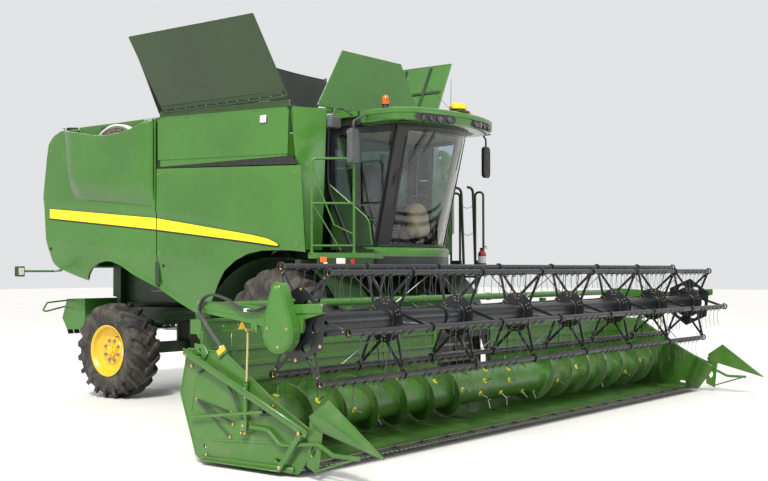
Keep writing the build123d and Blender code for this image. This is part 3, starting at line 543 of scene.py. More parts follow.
    def side(self, poly, x0, x1, bev=0.003, holes=()):
        """Plate in the side view: poly of (y, z) between x0 and x1."""
        self.plate(ccw(poly), lambda u, v: ((x0 + x1) / 2, u, v), (1, 0, 0), abs(x1 - x0), bev,
                   [ccw(h)[::-1] for h in holes])

    def grid(self, rows, flip=False, close_u=False):
        """Surface through rows of points of one length."""
        rows = np.asarray(rows, float)
        R, C = rows.shape[:2]
        F = []
        for i in range(R - 1):
            for j in range(C if close_u else C - 1):
                k = (j + 1) % C
                q = (i * C + j, i * C + k, (i + 1) * C + k, (i + 1) * C + j)
                F.append(q[::-1] if flip else q)
        self.add(rows.reshape(-1, 3), F)

    def mirror_x(self):
        """Adds the mirror image of everything so far."""
        v = np.vstack(self.v)
        v2 = v * np.array((-1, 1, 1))
        n = self.n
        self.v.append(v2)
        self.f += [tuple(i + n for i in f[::-1]) for f in self.f]
        self.m += list(self.m)
        self.n *= 2
        return self

    def build(self, name, body, replaces=(), slot=None, angle=38, solid=None, sub=0, bevel=None):
        me = bpy.data.meshes.new(name)
        v = np.vstack(self.v) + np.array((0, YS, 0))
        me.from_pydata(v.tolist(), [], self.f)
        for mt in self.mats:
            me.materials.append(MATS[mt])
        me.polygons.foreach_set("material_index", self.m)
        me.polygons.foreach_set("use_smooth", [True] * len(self.f))
        me.update()
        me.validate()
        o = bpy.data.objects.new(name, me)
        bpy.context.scene.collection.objects.link(o)
        if solid:
            md = o.modifiers.new("solid", 'SOLIDIFY')
            md.thickness, md.offset = solid
        if bevel:
            md = o.modifiers.new("bevel", 'BEVEL')
            md.width, md.segments, md.limit_method, md.angle_limit = bevel, 2, 'ANGLE', rad(40)
        if sub:
            md = o.modifiers.new("sub", 'SUBSURF')
            md.levels = md.render_levels = sub
        me.set_sharp_from_angle(angle=rad(angle))
        if body:
            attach(o, body)
        if replaces:
            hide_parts(*replaces)
        return o


def area2(poly):
    return 0.5 * sum(poly[i][0] * poly[(i + 1) % len(poly)][1] - poly[(i + 1) % len(poly)][0] * poly[i][1] for i in range(len(poly)))


def ccw(poly):
    poly = [tuple(p) for p in poly]
    return poly if area2(poly) > 0 else poly[::-1]


def tess(loops):
    from mathutils.geometry import tessellate_polygon
    t = tessellate_polygon([[Vector((p[0], p[1], 0)) for p in lp] for lp in loops])
    flat = [p for lp in loops for p in lp]
    out = []
    for a, b, c in t:
        (x0, y0), (x1, y1), (x2, y2) = flat[a], flat[b], flat[c]
        ar = (x1 - x0) * (y2 - y0) - (x2 - x0) * (y1 - y0)
        if abs(ar) > 1e-12:
            out.append((a, b, c) if ar > 0 else (a, c, b))
    return out


def inset_loops(loops, d):
    res = []
    for lp in loops:
        n = len(lp)
        out = []
        for i in range(n):
            p0, p1, p2 = (np.array(lp[j % n], float) for j in (i - 1, i, i + 1))
            a, b = p1 - p0, p2 - p1
            a /= np.linalg.norm(a) + 1e-12
            b /= np.linalg.norm(b) + 1e-12
            na, nb = np.array((-a[1], a[0])), np.array((-b[1], b[0]))
            m = na + nb
            L = np.dot(m, na)
            out.append(tuple(p1 + m * (d / max(L, 0.35))))
        res.append(out)
    return res


def fillet(pts, r):
    out = [pts[0]]
    for i in range(1, len(pts) - 1):
        p0, p, p1 = pts[i - 1], pts[i], pts[i + 1]
        a, b = p0 - p, p1 - p
        la, lb = np.linalg.norm(a), np.linalg.norm(b)
        a, b = a / la, b / lb
        ang = math.acos(max(-1, min(1, float(np.dot(a, b)))))
        if ang > pi - 0.02:
            out.append(p)
            continue
        t = min(r / math.tan(ang / 2), 0.48 * la, 0.48 * lb)
        rr = t * math.tan(ang / 2)
        mid = (a + b) / np.linalg.norm(a + b)
        c = p + mid * (rr / sin(ang / 2))
        s, e = p + a * t, p + b * t
        steps = max(3, int((pi - ang) / rad(14)))
        vs, ve = s - c, e - c
        tot = math.acos(max(-1, min(1, float(np.dot(vs, ve) / (np.linalg.norm(vs) * np.linalg.norm(ve))))))
        for k in range(steps + 1):
            w = k / steps
            out.append(c + (vs * sin((1 - w) * tot) + ve * sin(w * tot)) / sin(tot))
    out.append(pts[-1])
    return out


def smooth_path(pts, n=8):
    """Points of a Catmull-Rom curve through pts."""
    P = [np.asarray(p, float) for p in pts]
    P = [2 * P[0] - P[1]] + P + [2 * P[-1] - P[-2]]
    out = []
    for i in range(1, len(P) - 2):
        for k in range(n):
            t = k / n
            out.append(0.5 * ((2 * P[i]) + (-P[i - 1] + P[i + 1]) * t + (2 * P[i - 1] - 5 * P[i] + 4 * P[i + 1] - P[i + 2]) * t * t
                              + (-P[i - 1] + 3 * P[i] - 3 * P[i + 1] + P[i + 2]) * t ** 3))
    out.append(P[-2])
    return out


def interp(x, table):
    xs, ys = [t[0] for t in table], [t[1] for t in table]
    return float(np.interp(x, xs, ys))


def look(node, mat):
    """Gives a carried-over node its finished material."""
    if node in NODES:
        o = NODES[node]
        for s in o.material_slots:
            s.material = MATS[mat]
        if not o.material_slots:
            o.data.materials.append(MATS[mat])


# ------------------------------------------------------------------ body sides
BEVEL = [(1.25, 1.85), (2.66, 2.105), (5.235, 2.325)]
CREASE = [(-0.2, 2.29), (0.32, 2.36), (2.69, 2.705), (5.13, 2.905), (5.3, 2.965)]
STRIPE_TOP = [(0.30, 2.178), (0.36, 2.212), (0.50, 2.262), (0.80, 2.318), (2.69, 2.592), (5.135, 2.805)]
STRIPE_LOW = [(0.30, 2.168), (0.36, 2.17), (0.80, 2.225), (2.69, 2.432), (5.135, 2.662)]
FRONT_LOW = [(-0.15, 2.078), (0.05, 2.098), (0.27, 2.108), (0.60, 2.105), (0.85, 2.07), (1.08, 1.985), (1.29, 1.85),
             (1.42, 1.70), (1.57, 1.48), (1.70, 1.335), (1.80, 1.285), (1.90, 1.266), (2.0, 1.295), (2.62, 1.592), (2.648, 1.606)]
FRONT_HIGH = [(-0.15, 3.172), (2.648, 3.283)]
REAR_LOW = [(2.664, 1.612), (2.90, 1.69), (3.18, 1.795), (3.45, 1.93), (3.62, 1.982), (3.79, 1.995), (3.95, 1.968), (4.11, 1.895),
            (4.20, 1.80), (4.27, 1.705), (4.60, 1.785), (4.96, 1.885), (5.05, 1.935), (5.11, 1.99), (5.19, 2.19), (5.228, 2.325), (5.285, 2.93)]
REAR_HIGH = [(2.664, 3.99), (4.76, 3.99), (4.88, 3.972), (5.0, 3.93), (5.10, 3.862), (5.165, 3.78), (5.285, 2.965)]


def side_relief(y, z):
    """Distance inward of the outer face, in metres."""
    d = 0.0
    b = interp(y, BEVEL)
    if z < b:
        d += 0.125 * (b - z)
    c = interp(y, CREASE)
    amp = 0.018 * min(1.0, max(0.25, (y + 0.3) / 2.2))
    t = min(1.0, max(0.0, (c - z) / 0.07))
    return d + amp * t


def panel(K, low, high, y0, y1, lean=0.0, sx=-1, flare=(9, 9), n=70, cut=None):
    """Sheet-metal skin between two outline curves, with pressed creases, a flared lip and rounded edges."""
    ys = sorted(set([y0, y0 + 0.004, y0 + 0.012, y1 - 0.012, y1 - 0.004, y1] + list(np.linspace(y0 + 0.02, y1 - 0.02, n))
                    + [p[0] for p in low if y0 < p[0] < y1] + ([cut[0], cut[0] + 0.002, cut[1], cut[1] - 0.002] if cut else [])))
    rows = []
    for y in ys:
        lo, hi = interp(y, low), interp(y, high)
        if cut and cut[0] + 0.001 < y < cut[1] - 0.001:
            hi = cut[2]
        b, c = interp(y, BEVEL), interp(y, CREASE)
        br = [lo, lo + 0.004, lo + 0.012, lo + 0.03, lo + 0.055, b - 0.004, b + 0.004, c - 0.074, c - 0.066, c - 0.004, c + 0.004, hi - 0.012, hi - 0.004, hi]
        zs = []
        for a0, a1 in zip(br[:-1], br[1:]):
            k = 6 if a1 - a0 > 0.2 or (a0, a1) in ((br[4], br[5]), (br[6], br[7]), (br[10], br[11])) else 1
            zs += [a0 + (a1 - a0) * i / k for i in range(k)]
        zs.append(hi)
        out, last = [], None
        for i, z in enumerate(zs):
            z = min(max(z, lo), hi)
            if last is not None and z < last + 2e-4:
                z = last + 2e-4
            out.append(z)
            last = z
        col = []
        slope = math.hypot(1, (interp(y + 0.01, low) - interp(y - 0.01, low)) / 0.02)
        for z in out:
            e = min(z - lo, max(0.0, out[-1] - z), y - y0, y1 - y)
            r = 0.012
            rd = r - math.sqrt(max(0.0, r * r - (r - min(r, e)) ** 2)) if e < r else 0.0
            x = side_relief(y, z) + rd
            if flare[0] <= y <= flare[1]:
                f = max(0.0, 1 - (z - lo) / slope / 0.055)
                w = min(1.0, (y - flare[0]) / 0.3, (flare[1] - y) / 0.05)
                x -= 0.034 * f * f * w
            yy = y + lean * (1 - (y - y0) / (y1 - y0)) * (z - lo) / max(0.1, hi - lo)
            col.append((sx * (1.620 - x), yy, z))
        rows.append(col)
    K.grid(rows, flip=sx > 0)


def decal(K, low, high, y0, y1, sx, lift, grow=0.0, n=60):
    ys = list(np.linspace(y0, y1, n))
    rows = []
    for y in ys:
        lo, hi = interp(y, low) - grow * 1.4, interp(y, high) + grow * 0.5
        rows.append([(sx * (1.620 - side_relief(y, (lo + hi) / 2) + lift), y, lo + (hi - lo) * t) for t in (0, 0.5, 1)])
    K.grid(rows, flip=sx > 0)


def body_sides():
    for sx, name in ((-1, "right"), (1, "left")):
        K = Kit("green_paint")
        panel(K, FRONT_LOW, FRONT_HIGH, -0.15, 2.648, 0.065, sx, (1.93, 9))
        K.build(f"front_side_panel_{name}", "chassis", (f"side_panels_{name}",), "green_paint", 30, solid=(0.028, -1))
        K = Kit("green_paint")
        panel(K, REAR_LOW, REAR_HIGH, 2.664, 5.285, 0, sx, (0, 4.27), cut=(2.92, 4.44, 3.36) if sx < 0 else None)
        K.build(f"rear_side_panel_{name}", "chassis", (f"side_panels_{name}",), "green_paint", 30, solid=(0.028, -1))
        K = Kit("stripe_black")
        decal(K, STRIPE_LOW, STRIPE_TOP, 0.285, 2.646, sx, 0.0012, 0.017)
        decal(K, STRIPE_LOW, STRIPE_TOP, 2.666, 5.147, sx, 0.0012, 0.017)
        K.use("stripe_yellow")
        decal(K, STRIPE_LOW, STRIPE_TOP, 0.31, 2.646, sx, 0.0026)
        decal(K, STRIPE_LOW, STRIPE_TOP, 2.666, 5.132, sx, 0.0026)
        K.build(f"side_stripe_{name}", "chassis", (), "yellow_paint", 60)
        # seam backing, inner stiffeners, latches and hinge bolts
        K = Kit("dark_green_paint")
        K.box(sx * 1.572, sx * 1.586, 2.61, 2.70, 1.66, 3.95, 0.002)
        for y in (0.55, 1.55):
            K.box(sx * 1.560, sx * 1.584, y, y + 0.05, 2.25, 3.12, 0.004)
        K.box(sx * 1.560, sx * 1.584, 0.0, 2.60, 3.05, 3.11, 0.004)
        K.use("black_plastic")
        for y, z in ((2.53, 1.93), (5.12, 2.2)):
            xo = 1.620 - side_relief(y, z)
            K.lathe((sx * xo, y, z), (sx, 0, 0.12), [(-0.01, 0.0), (-0.01, 0.03), (0.004, 0.03), (0.006, 0.026), (0.001, 0.02), (0.001, 0.009), (0.007, 0.008), (0.008, 0)], 20)
        K.use("steel")
        for y, z in ((2.60, 3.2), (2.60, 2.1), (0.02, 3.09), (0.0, 2.2), (5.18, 2.5), (5.1, 3.7), (2.72, 3.93), (4.6, 3.93)):
            if sx < 0 and 2.7 < y < 4.7 and z > 3:
                continue
            xo = 1.620 - side_relief(y, z)
            K.bolt((sx * (xo - 0.001), y, z), (sx, 0, 0), 0.008, 0.005)
        K.build(f"side_fittings_{name}", "chassis", (), "black_plastic")


def scoop():
    top = smooth_path([(4.765, 4.015, 0), (4.56, 3.955, 0), (4.20, 3.893, 0), (3.73, 3.822, 0), (3.25, 3.832, 0), (2.80, 3.935, 0), (2.675, 3.99, 0)], 6)
    top = sorted((p[0], p[1]) for p in top)
    rear = [(0.0, 4.43), (0.05, 4.50), (0.12, 4.575), (0.25, 4.65), (0.5, 4.71), (0.75, 4.74), (1.0, 4.765)]
    n, m = 46, 34
    rows = []
    for j in range(m + 1):
        v = j / m
        yr = interp(v, rear)
        row = []
        for i in range(n + 1):
            u = i / n
            y = yr * (1 - u) + 2.678 * u
            zt = interp(y, top)
            zb = 2.748 + (y - 2.678) * 0.096
            z = zb + (zt - zb) * v
            a = min(1.0, u / 0.20)
            b = min(1.0, (1 - u) / 0.075)
            c = min(1.0, v / 0.30)
            h = 0.128 * sin(a * pi / 2) ** 0.8 * (0.16 + 0.84 * sin(b * pi / 2)) * sin(c * pi / 2) ** 0.9 * (0.86 + 0.14 * v)
            if u == 0 or v == 0:
                h = 0.0
            row.append((-1.6225 - h, y, z))
        rows.append(row)
    K = Kit("green_paint")
    K.grid(rows)
    K.build("air_intake_scoop", "chassis", ("intake_scoop",), "green_paint", 60, solid=(0.022, -1), sub=1)
    # dark inner duct and seals that show over the concave edge
    K = Kit("black_plastic")
    K.tube([(-1.64, p[0], p[1] + 0.004) for p in top], 0.006, 8)
    # dark green duct walls: painted shade inside the duct
    K.use("dark_green_paint")
    K.box(-1.618, -1.575, 4.42, 4.47, 3.3, 3.96, 0.004)
    K.box(-1.618, -1.575, 2.90, 2.95, 3.3, 3.96, 0.004)
    K.box(-1.618, -1.30, 2.93, 4.44, 3.30, 3.34, 0.004)
    K.use("black_plastic")
    K.tube([(-1.60, 4.46, 3.99), (-1.60, 4.70, 4.01), (-1.52, 4.78, 4.005)], 0.018, 10, 0.03)
    K.use("green_paint")
    K.box(-1.262, -1.234, 2.66, 4.88, 3.95, 4.075, 0.01)
    # darker green plate: painted shade under the top trim
    K.use("painted_shade_green")
    K.box(-1.276, -1.258, 4.13, 4.32, 3.90, 4.03, 0.006)
    K.build("intake_duct_trim", "chassis", (), "dark_green_paint")
    # rotary screen: rim, spokes and perforated drum face
    K = Kit("white_paint")
    o = (-1.30, 3.76, 3.37)
    K.lathe(o, (-1, 0, 0), [(0.0, 0.0), (0.0, 0.56), (0.045, 0.645), (0.15, 0.645), (0.158, 0.640), (0.158, 0.618), (0.15, 0.61), (0.05, 0.608), (0.05, 0.56), (0.03, 0.0)], 72)
    K.use("worn_steel")
    K.lathe(o, (-1, 0, 0), [(0.15, 0.608), (0.153, 0.595), (0.163, 0.40), (0.170, 0.20), (0.172, 0.10), (0.172, 0.0)], 72)
    for k in range(24):
        a = 2 * pi * k / 24
        K.tube([(o[0] - 0.158, o[1] + 0.60 * cos(a), o[2] + 0.60 * sin(a)), (o[0] - 0.172, o[1] + 0.35 * cos(a + 0.06), o[2] + 0.35 * sin(a + 0.06)),
                (o[0] - 0.18, o[1] + 0.10 * cos(a + 0.12), o[2] + 0.10 * sin(a + 0.12))], 0.006, 6)
    K.use("black_plastic")
    for r in [0.14 + 0.04 * k for k in range(12)]:
        K.tube([(o[0] - 0.178 + 0.016 * (r / 0.6), o[1] + r * cos(2 * pi * k / 60), o[2] + r * sin(2 * pi * k / 60)) for k in range(60)], 0.0035, 5, closed=True)
    K.lathe(o, (-1, 0, 0), [(0.165, 0.11), (0.182, 0.10), (0.186, 0.09), (0.186, 0.0)], 32)
    K.build("rotary_air_screen", "screen", ("rotary_screen",), "steel")


def hood_details():
    K = Kit("green_paint")
    # rear hood: raised ribs along the top, a pressed frame on the back and lamp rails
    for x in (-0.9, -0.3, 0.3, 0.9):
        K.beam((x, 2.75, 4.054), (x, 4.74, 4.054), 0.10, 0.018, bev=0.008)
    K.beam((-1.1, 4.95, 3.995), (1.1, 4.95, 3.995), 0.16, 0.02, (0, -0.5, 1), 0.008)
    for x in (-1.0, 1.0):
        K.beam((x, 5.155, 3.80), (x, 5.272, 3.02), 0.12, 0.02, (0, 1, 0), 0.008)
    K.use("dark_green_paint")
    K.beam((-1.2, 5.262, 2.90), (1.2, 5.262, 2.90), 0.05, 0.03, (0, 0, 1), 0.006)
    K.use("black_plastic")
    for k in range(11):
        z = 3.12 + k * 0.055
        y = 5.150 + (3.85 - z) * 0.1345 + 0.010
        K.beam((-0.82, y, z), (0.82, y, z), 0.014, 0.038, (0, -0.3, 1), 0.003)
    K.use("red_lens")
    for s in (-1, 1):
        K.lathe((s * 1.28, 5.238, 2.62), (0, 1, -0.1), [(-0.01, 0.055), (0.012, 0.055), (0.022, 0.04), (0.026, 0)], 28)
        K.use("orange_lens")
        K.lathe((s * 1.28, 5.236, 2.48), (0, 1, -0.1), [(-0.01, 0.045), (0.012, 0.045), (0.02, 0.03), (0.023, 0)], 28)
        K.use("red_lens")
    K.use("black_paint")
    for s in (-1, 1):
        K.beam((s * 0.55, 5.26, 2.45), (s * 0.55, 5.26, 2.75), 0.03, 0.03, (0, 1, 0), 0.006)
    K.use("green_paint")
    K.beam((-0.56, 5.245, 2.60), (0.56, 5.245, 2.60), 0.46, 0.016, (0, 1, 0.1), 0.006)
    K.build("rear_hood_details", "chassis", (), "green_paint")


def covers():
    L = math.atan2(1.0, 0.58)
    up = np.array((-cos(L), 0, sin(L)))
    nrm = np.array((-sin(L), 0, -cos(L)))          # outer face, looks out and down
    H = np.array((-1.6, 0, 4.03))

    def at(y, run, out=0.0):
        return H + up * run + nrm * out + np.array((0, y, 0))

    poly = [(0.160, 0.025), (2.50, 0.035), (2.57, 1.15), (0.23, 1.135)]
    for sx, body, node, nm in ((1, "cover_right", "tank_cover_right", "tank_cover_skin_right"), (-1, "cover_left", "tank_cover_left", "tank_cover_skin_left")):
        # the right cover's outer face turns down and away from the light: its darker green is painted shade; the left
        # cover keeps the plain green
        K = Kit("painted_shade_green" if sx > 0 else "green_paint")
        # skin with a shallow pressed bulge, thin inward hem on every edge
        rows = []
        for i in range(25):
            u = i / 24
            row = []
            for j in range(13):
                v = j / 12
                a = np.array(poly[0]) * (1 - u) + np.array(poly[1]) * u
                b = np.array(poly[3]) * (1 - u) + np.array(poly[2]) * u
                p = a * (1 - v) + b * v
                o = -0.004 + 0.006 * sin(pi * u) * sin(pi * v)
                row.append(at(p[0], p[1], o))
            rows.append(row)
        K.grid(rows, flip=False)
        inner = [[p - nrm * 0.016 for p in r] for r in rows]
        K.grid(inner, flip=True)
        e = [[rows[i][0] for i in range(25)], [rows[i][-1] for i in range(25)], rows[0], rows[-1]]
        for k, line in enumerate(e):
            K.tube([p - nrm * 0.010 for p in line], 0.0115, 8)
        K.use("dark_green_paint")
        # lower double fold with the hinge, ribs and gas-strut brackets on the inside, all dark green: painted shade
        # along the fold
        K.beam(at(0.19, 0.085, 0.004), at(2.49, 0.095, 0.004), 0.012, 0.05, up, 0.003)
        K.beam(at(0.17, 0.03, -0.004), at(2.49, 0.04, -0.004), 0.03, 0.035, up, 0.005)
        for y in (0.55, 1.02, 1.49, 1.96, 2.32):
            K.beam(at(y, 0.10, -0.026), at(y + 0.04, 1.10, -0.026), 0.05, 0.022, nrm, 0.006)
        K.beam(at(0.24, 0.60, -0.024), at(2.52, 0.60, -0.024), 0.05, 0.018, nrm, 0.006)
        K.use("steel")
        for y in [0.22 + 0.2 * k for k in range(12)]:
            K.bolt(at(y, 0.060, 0.0045), nrm, 0.007, 0.005)
        for y in (0.5, 1.35, 2.2):
            K.rod(at(y, 0.0, -0.012), at(y + 0.16, 0.0, -0.012), 0.012, 12)
        if sx < 0:
            K.v = [v * np.array((-1, 1, 1)) for v in K.v]
            K.f = [f[::-1] for f in K.f]
        K.build(nm, body, (node,), "green_paint", 40)

    # front cover: a gently bulged sheet, hems and three stiffening ribs
    K = Kit("green_paint")
    bottom, topw = (1.13, 3.99), (0.64, 4.77)
    rows = []
    for j in range(15):
        v = j / 14
        hw = bottom[0] * (1 - v) + topw[0] * v
        z = bottom[1] * (1 - v) + topw[1] * v
        rows.append([(-hw + 2 * hw * i / 28, 0.052 + 0.006 * cos(pi * (i / 28 - 0.5)) * sin(pi * v) * -1, z) for i in range(29)])
    K.grid(rows, flip=True)
    K.grid([[(p[0], p[1] + 0.018, p[2]) for p in r] for r in rows], flip=False)
    for line in ([r[0] for r in rows], [r[-1] for r in rows], rows[0], rows[-1]):
        K.tube([(p[0], p[1] + 0.009, p[2]) for p in line], 0.0115, 8)
    K.use("dark_green_paint")
    for x in (-0.5, 0.0, 0.5):
        K.beam((x, 0.078, 4.02), (x * 0.85, 0.078, 4.74), 0.05, 0.02, (0, 1, 0), 0.006)
    K.use("steel")
    for x in (-0.9, -0.45, 0, 0.45, 0.9):
        K.bolt((x, 0.046, 4.03), (0, -1, 0), 0.007, 0.005)
    K.build("tank_cover_skin_front", "cover_front", ("tank_cover_front",), "green_paint", 40)

    # tank rim: folded flange, corner cap, side overlay with the dark shadow gap, work lamp
    # darker green flanges of the rim: painted shade under the open covers
    K = Kit("painted_shade_green")
    for s in (-1, 1):
        K.beam((s * 1.607, 0.10, 3.940), (s * 1.607, 2.58, 4.013), 0.03, 0.05, (0, 0, 1), 0.008)
        K.beam((s * 1.60, 0.11, 3.975), (s * 1.60, 2.58, 4.045), 0.03, 0.07, (0, 0, 1), 0.006)
    K.beam((-1.56, 0.115, 3.932), (1.56, 0.115, 3.932), 0.03, 0.026, (0, 0, 1), 0.006)
    K.beam((-1.56, 2.57, 4.0), (1.56, 2.57, 4.0), 0.04, 0.06, (0, 0, 1), 0.008)
    K.use("green_paint")
    for s in (-1, 1):
        # pressed outer sheet of the tank side above the shadow gap
        pts = [(0.135, 3.325), (2.60, 3.395), (2.61, 3.965), (0.118, 3.895)]
        K.side(pts, s * 1.617, s * 1.631, 0.004)
    # black strip below the tank side sheet: painted shadow of the gap
    K.use("black_plastic")
    for s in (-1, 1):
        K.side([(-0.06, 3.185), (2.63, 3.290), (2.62, 3.385), (0.10, 3.315)], s * 1.600, s * 1.612, 0.001)
    K.use("white_paint")
    K.obox((-1.634, 0.55, 3.80), (0.012, 0, 0), (0, 0.055, 0), (0, 0, 0.05), 0.006)
    K.use("grey_plastic")
    K.obox((-1.632, 0.55, 3.80), (0.010, 0, 0), (0, 0.065, 0), (0, 0, 0.06), 0.006)
    K.use("white_paint")
    K.obox((-1.643, 0.55, 3.80), (0.004, 0, 0), (0, 0.045, 0), (0, 0, 0.04), 0.003)
    K.build("tank_trim", "chassis", (), "green_paint")


def canvas():
    """Black canvas behind the covers, hung between their rear corners, with sewn hems; hang_canvas adds the clear
    window.
    """
    n, m = 60, 30
    rows = []
    for j in range(m + 1):
        v = j / m
        z0 = 4.06
        row = []
        for i in range(n + 1):
            u = -1 + 2 * i / n
            hw = 1.55 + 0.47 * min(1, v / 0.9)
            zt = 5.04 + 0.10 * (1 - abs(u) ** 3) - 0.16 * (1 - (abs(u) - 0.55) ** 2 / 0.3) * (1 if abs(u) < 0.99 else 0) * 0.6
            z = z0 + (zt - z0) * v
            w = 0.010 * sin(9 * u + 3 * v) * sin(pi * v) + 0.008 * sin(23 * u - 5 * v) * v * (1 - v) * 3
            row.append((u * hw, 2.655 + w, z))
        rows.append(row)
    K = Kit("canvas")
    K.grid(rows, flip=True)
    o = K.build("tank_rear_canvas", "chassis", ("rear_canvas",), "canvas", 80, solid=(0.004, 0))
    K2 = Kit("canvas")
    for line in (rows[-1], [r[0] for r in rows], [r[-1] for r in rows]):
        K2.tube([(p[0], p[1], p[2]) for p in line], 0.008, 8)
    o2 = K2.build("canvas_hem", "chassis", (), "canvas", 80)
    return o, o2, rows


# ------------------------------------------------------------------ wheels
def tyre(K, cx, cy, R, W, rr, lugs, sx, lug_h, phase=0.0):
    """Ribbed farm tyre about the X axis at (cx, cy, R): carcass with bead and buttress, then two rows of curved lugs."""
    h = R - rr
    Rc = R - lug_h
    half = [(0.0, Rc), (W * 0.16, Rc - 0.001), (W * 0.30, Rc - 0.008), (W * 0.385, Rc - 0.028), (W * 0.435, Rc - 0.062),
            (W * 0.468, R - h * 0.30), (W * 0.487, R - h * 0.42), (W * 0.489, R - h * 0.52), (W * 0.478, R - h * 0.60),
            (W * 0.462, R - h * 0.66), (W * 0.464, R - h * 0.68), (W * 0.452, R - h * 0.72), (W * 0.446, R - h * 0.80),
            (W * 0.432, rr + h * 0.13), (W * 0.430, rr + h * 0.115), (W * 0.418, rr + h * 0.06), (W * 0.405, rr + 0.008), (W * 0.395, rr + 0.002)]
    prof = [(-a, r) for a, r in half[::-1]] + half[1:]
    K.lathe((sx * cx, cy, R), (1, 0, 0), prof, 112)
    tab = half[:8]

    def carcass(a):
        return interp(a, [(p[0], p[1]) for p in tab])

    n = 13
    for side in (-1, 1):
        for k in range(lugs):
            base = 2 * pi * (k + (0.5 if side > 0 else 0.0)) / lugs + phase
            rows = []
            for i in range(n + 1):
                t = i / n
                if t <= 0.80:
                    a = -0.012 + (W * 0.447 + 0.012) * (t / 0.80)
                    rb = carcass(abs(a))
                    top = R - 0.018 * (t / 0.80) ** 3
                else:
                    w = (t - 0.80) / 0.20
                    a = W * 0.447 + (W * 0.500 - W * 0.447) * sin(w * pi / 2) * 0.92
                    rb = interp(a, [(W * 0.435, Rc - 0.062), (W * 0.487, R - h * 0.42)]) - 0.03 * w
                    top = R - 0.018 - (0.018 + h * 0.26) * w ** 1.2
                ang = base - (2 * pi / lugs) * (1.06 * t ** 0.82) * (1 if sx > 0 else 1)
                wt = (0.021 + 0.011 * t) * (1.0 if t < 0.8 else 1.1)
                wb = wt + 0.017
                if t > 0.8:
                    w = (t - 0.80) / 0.20
                    lift_a = a + 0.016 * (1 - w * 0.55)
                else:
                    lift_a = a
                pts = []
                for da, rad_, aa in ((-wb, rb - 0.004, a), (-wt, top, lift_a), (wt, top, lift_a), (wb, rb - 0.004, a)):
                    th = ang + da / R
                    pts.append((sx * cx + side * aa, cy + rad_ * cos(th), R + rad_ * sin(th)))
                rows.append(pts)
            K.grid(rows, flip=side > 0)
            s = K.n
            K.add([rows[0][0], rows[0][1], rows[0][2], rows[0][3], rows[-1][0], rows[-1][1], rows[-1][2], rows[-1][3]],
                  [(0, 1, 2, 3)[::side], (7, 6, 5, 4)[::side]])


def rim(K, cx, cy, R, W, rr, disc, bolts, pcd, sx):
    """Dished steel wheel: flanged barrel, cone, flat centre with bolts, hub and valve."""
    o = (sx * 0.0, cy, R)
    ax = (sx, 0, 0)
    a, b = cx - W * 0.40, cx + W * 0.40
    K.use("yellow_paint")
    K.lathe(o, ax, [(disc - 0.004, 0.0), (disc - 0.004, rr - 0.075), (a + 0.02, rr - 0.045), (a + 0.004, rr - 0.016), (a - 0.010, rr + 0.006), (a - 0.016, rr + 0.004), (a - 0.014, rr - 0.004),
                    (a + 0.006, rr - 0.024), (a + 0.03, rr - 0.052)][::-1][:0] +
            [(a + 0.004, rr - 0.014), (a - 0.008, rr - 0.004), (a - 0.016, rr + 0.008), (a - 0.021, rr + 0.006), (a - 0.014, rr - 0.010), (a, rr - 0.026), (a + 0.03, rr - 0.040),
             (disc - 0.03, rr - 0.060), (disc - 0.004, rr - 0.085), (disc - 0.004, 0.13), (disc - 0.004, 0.0)], 72)
    K.lathe(o, ax, [(disc - 0.002, rr - 0.090), (disc + 0.010, rr - 0.082), (b - 0.062, rr - 0.046), (b - 0.030, rr - 0.030), (b - 0.012, rr - 0.022),
                    (b + 0.004, rr - 0.014), (b + 0.010, rr - 0.004), (b + 0.013, rr + 0.008), (b + 0.019, rr + 0.009), (b + 0.0205, rr + 0.003),
                    (b + 0.017, rr - 0.008), (b + 0.006, rr - 0.022), (b - 0.004, rr - 0.030)], 96)
    K.lathe(o, ax, [(b - 0.012, rr - 0.0225), (b - 0.03, rr - 0.036), (b - 0.055, rr - 0.050), (disc + 0.055, rr - 0.080), (disc + 0.034, rr - 0.100), (disc + 0.024, rr - 0.130),
                    (disc + 0.022, pcd + 0.055), (disc + 0.026, pcd + 0.047), (disc + 0.038, pcd + 0.038), (disc + 0.040, pcd - 0.034), (disc + 0.036, pcd - 0.040),
                    (disc + 0.036, 0.112), (disc + 0.04, 0.104), (disc + 0.074, 0.098), (disc + 0.080, 0.090), (disc + 0.080, 0.066), (disc + 0.094, 0.060), (disc + 0.098, 0.05), (disc + 0.098, 0.0)], 72)
    K.use("steel")
    for k in range(bolts):
        t = 2 * pi * (k + 0.5) / bolts
        p = (sx * (disc + 0.040), cy + pcd * cos(t), R + pcd * sin(t))
        K.lathe(p, ax, [(0, 0.030), (0.004, 0.030), (0.006, 0.022), (0.006, 0.0)], 16)
        K.lathe(p, ax, [(0.004, 0.0195), (0.026, 0.0195), (0.030, 0.016), (0.030, 0.010), (0.044, 0.010), (0.046, 0.007), (0.046, 0)], 6)
    K.use("black_plastic")
    for k in range(6):
        t = 2 * pi * (k + 0.25) / 6
        K.lathe((sx * (disc + 0.0745), cy + 0.078 * cos(t), R + 0.078 * sin(t)), ax, [(0.004, 0.008), (0.010, 0.008), (0.011, 0.0)], 8)
    K.use("white_paint")
    t = rad(185) if sx < 0 else rad(-5)
    pm = (rr - 0.105)
    K.beam((sx * (disc + 0.05), cy + pm * cos(t), R + pm * sin(t) - 0.045), (sx * (disc + 0.05), cy + pm * cos(t), R + pm * sin(t) + 0.045), 0.022, 0.03, (1, 0, 0), 0.006)
    K.use("black_plastic")
    K.rod((sx * (disc + 0.04), cy + (rr - 0.12) * cos(2.2), R + (rr - 0.12) * sin(2.2)), (sx * (disc + 0.10), cy + (rr - 0.105) * cos(2.2), R + (rr - 0.105) * sin(2.2)), 0.007)


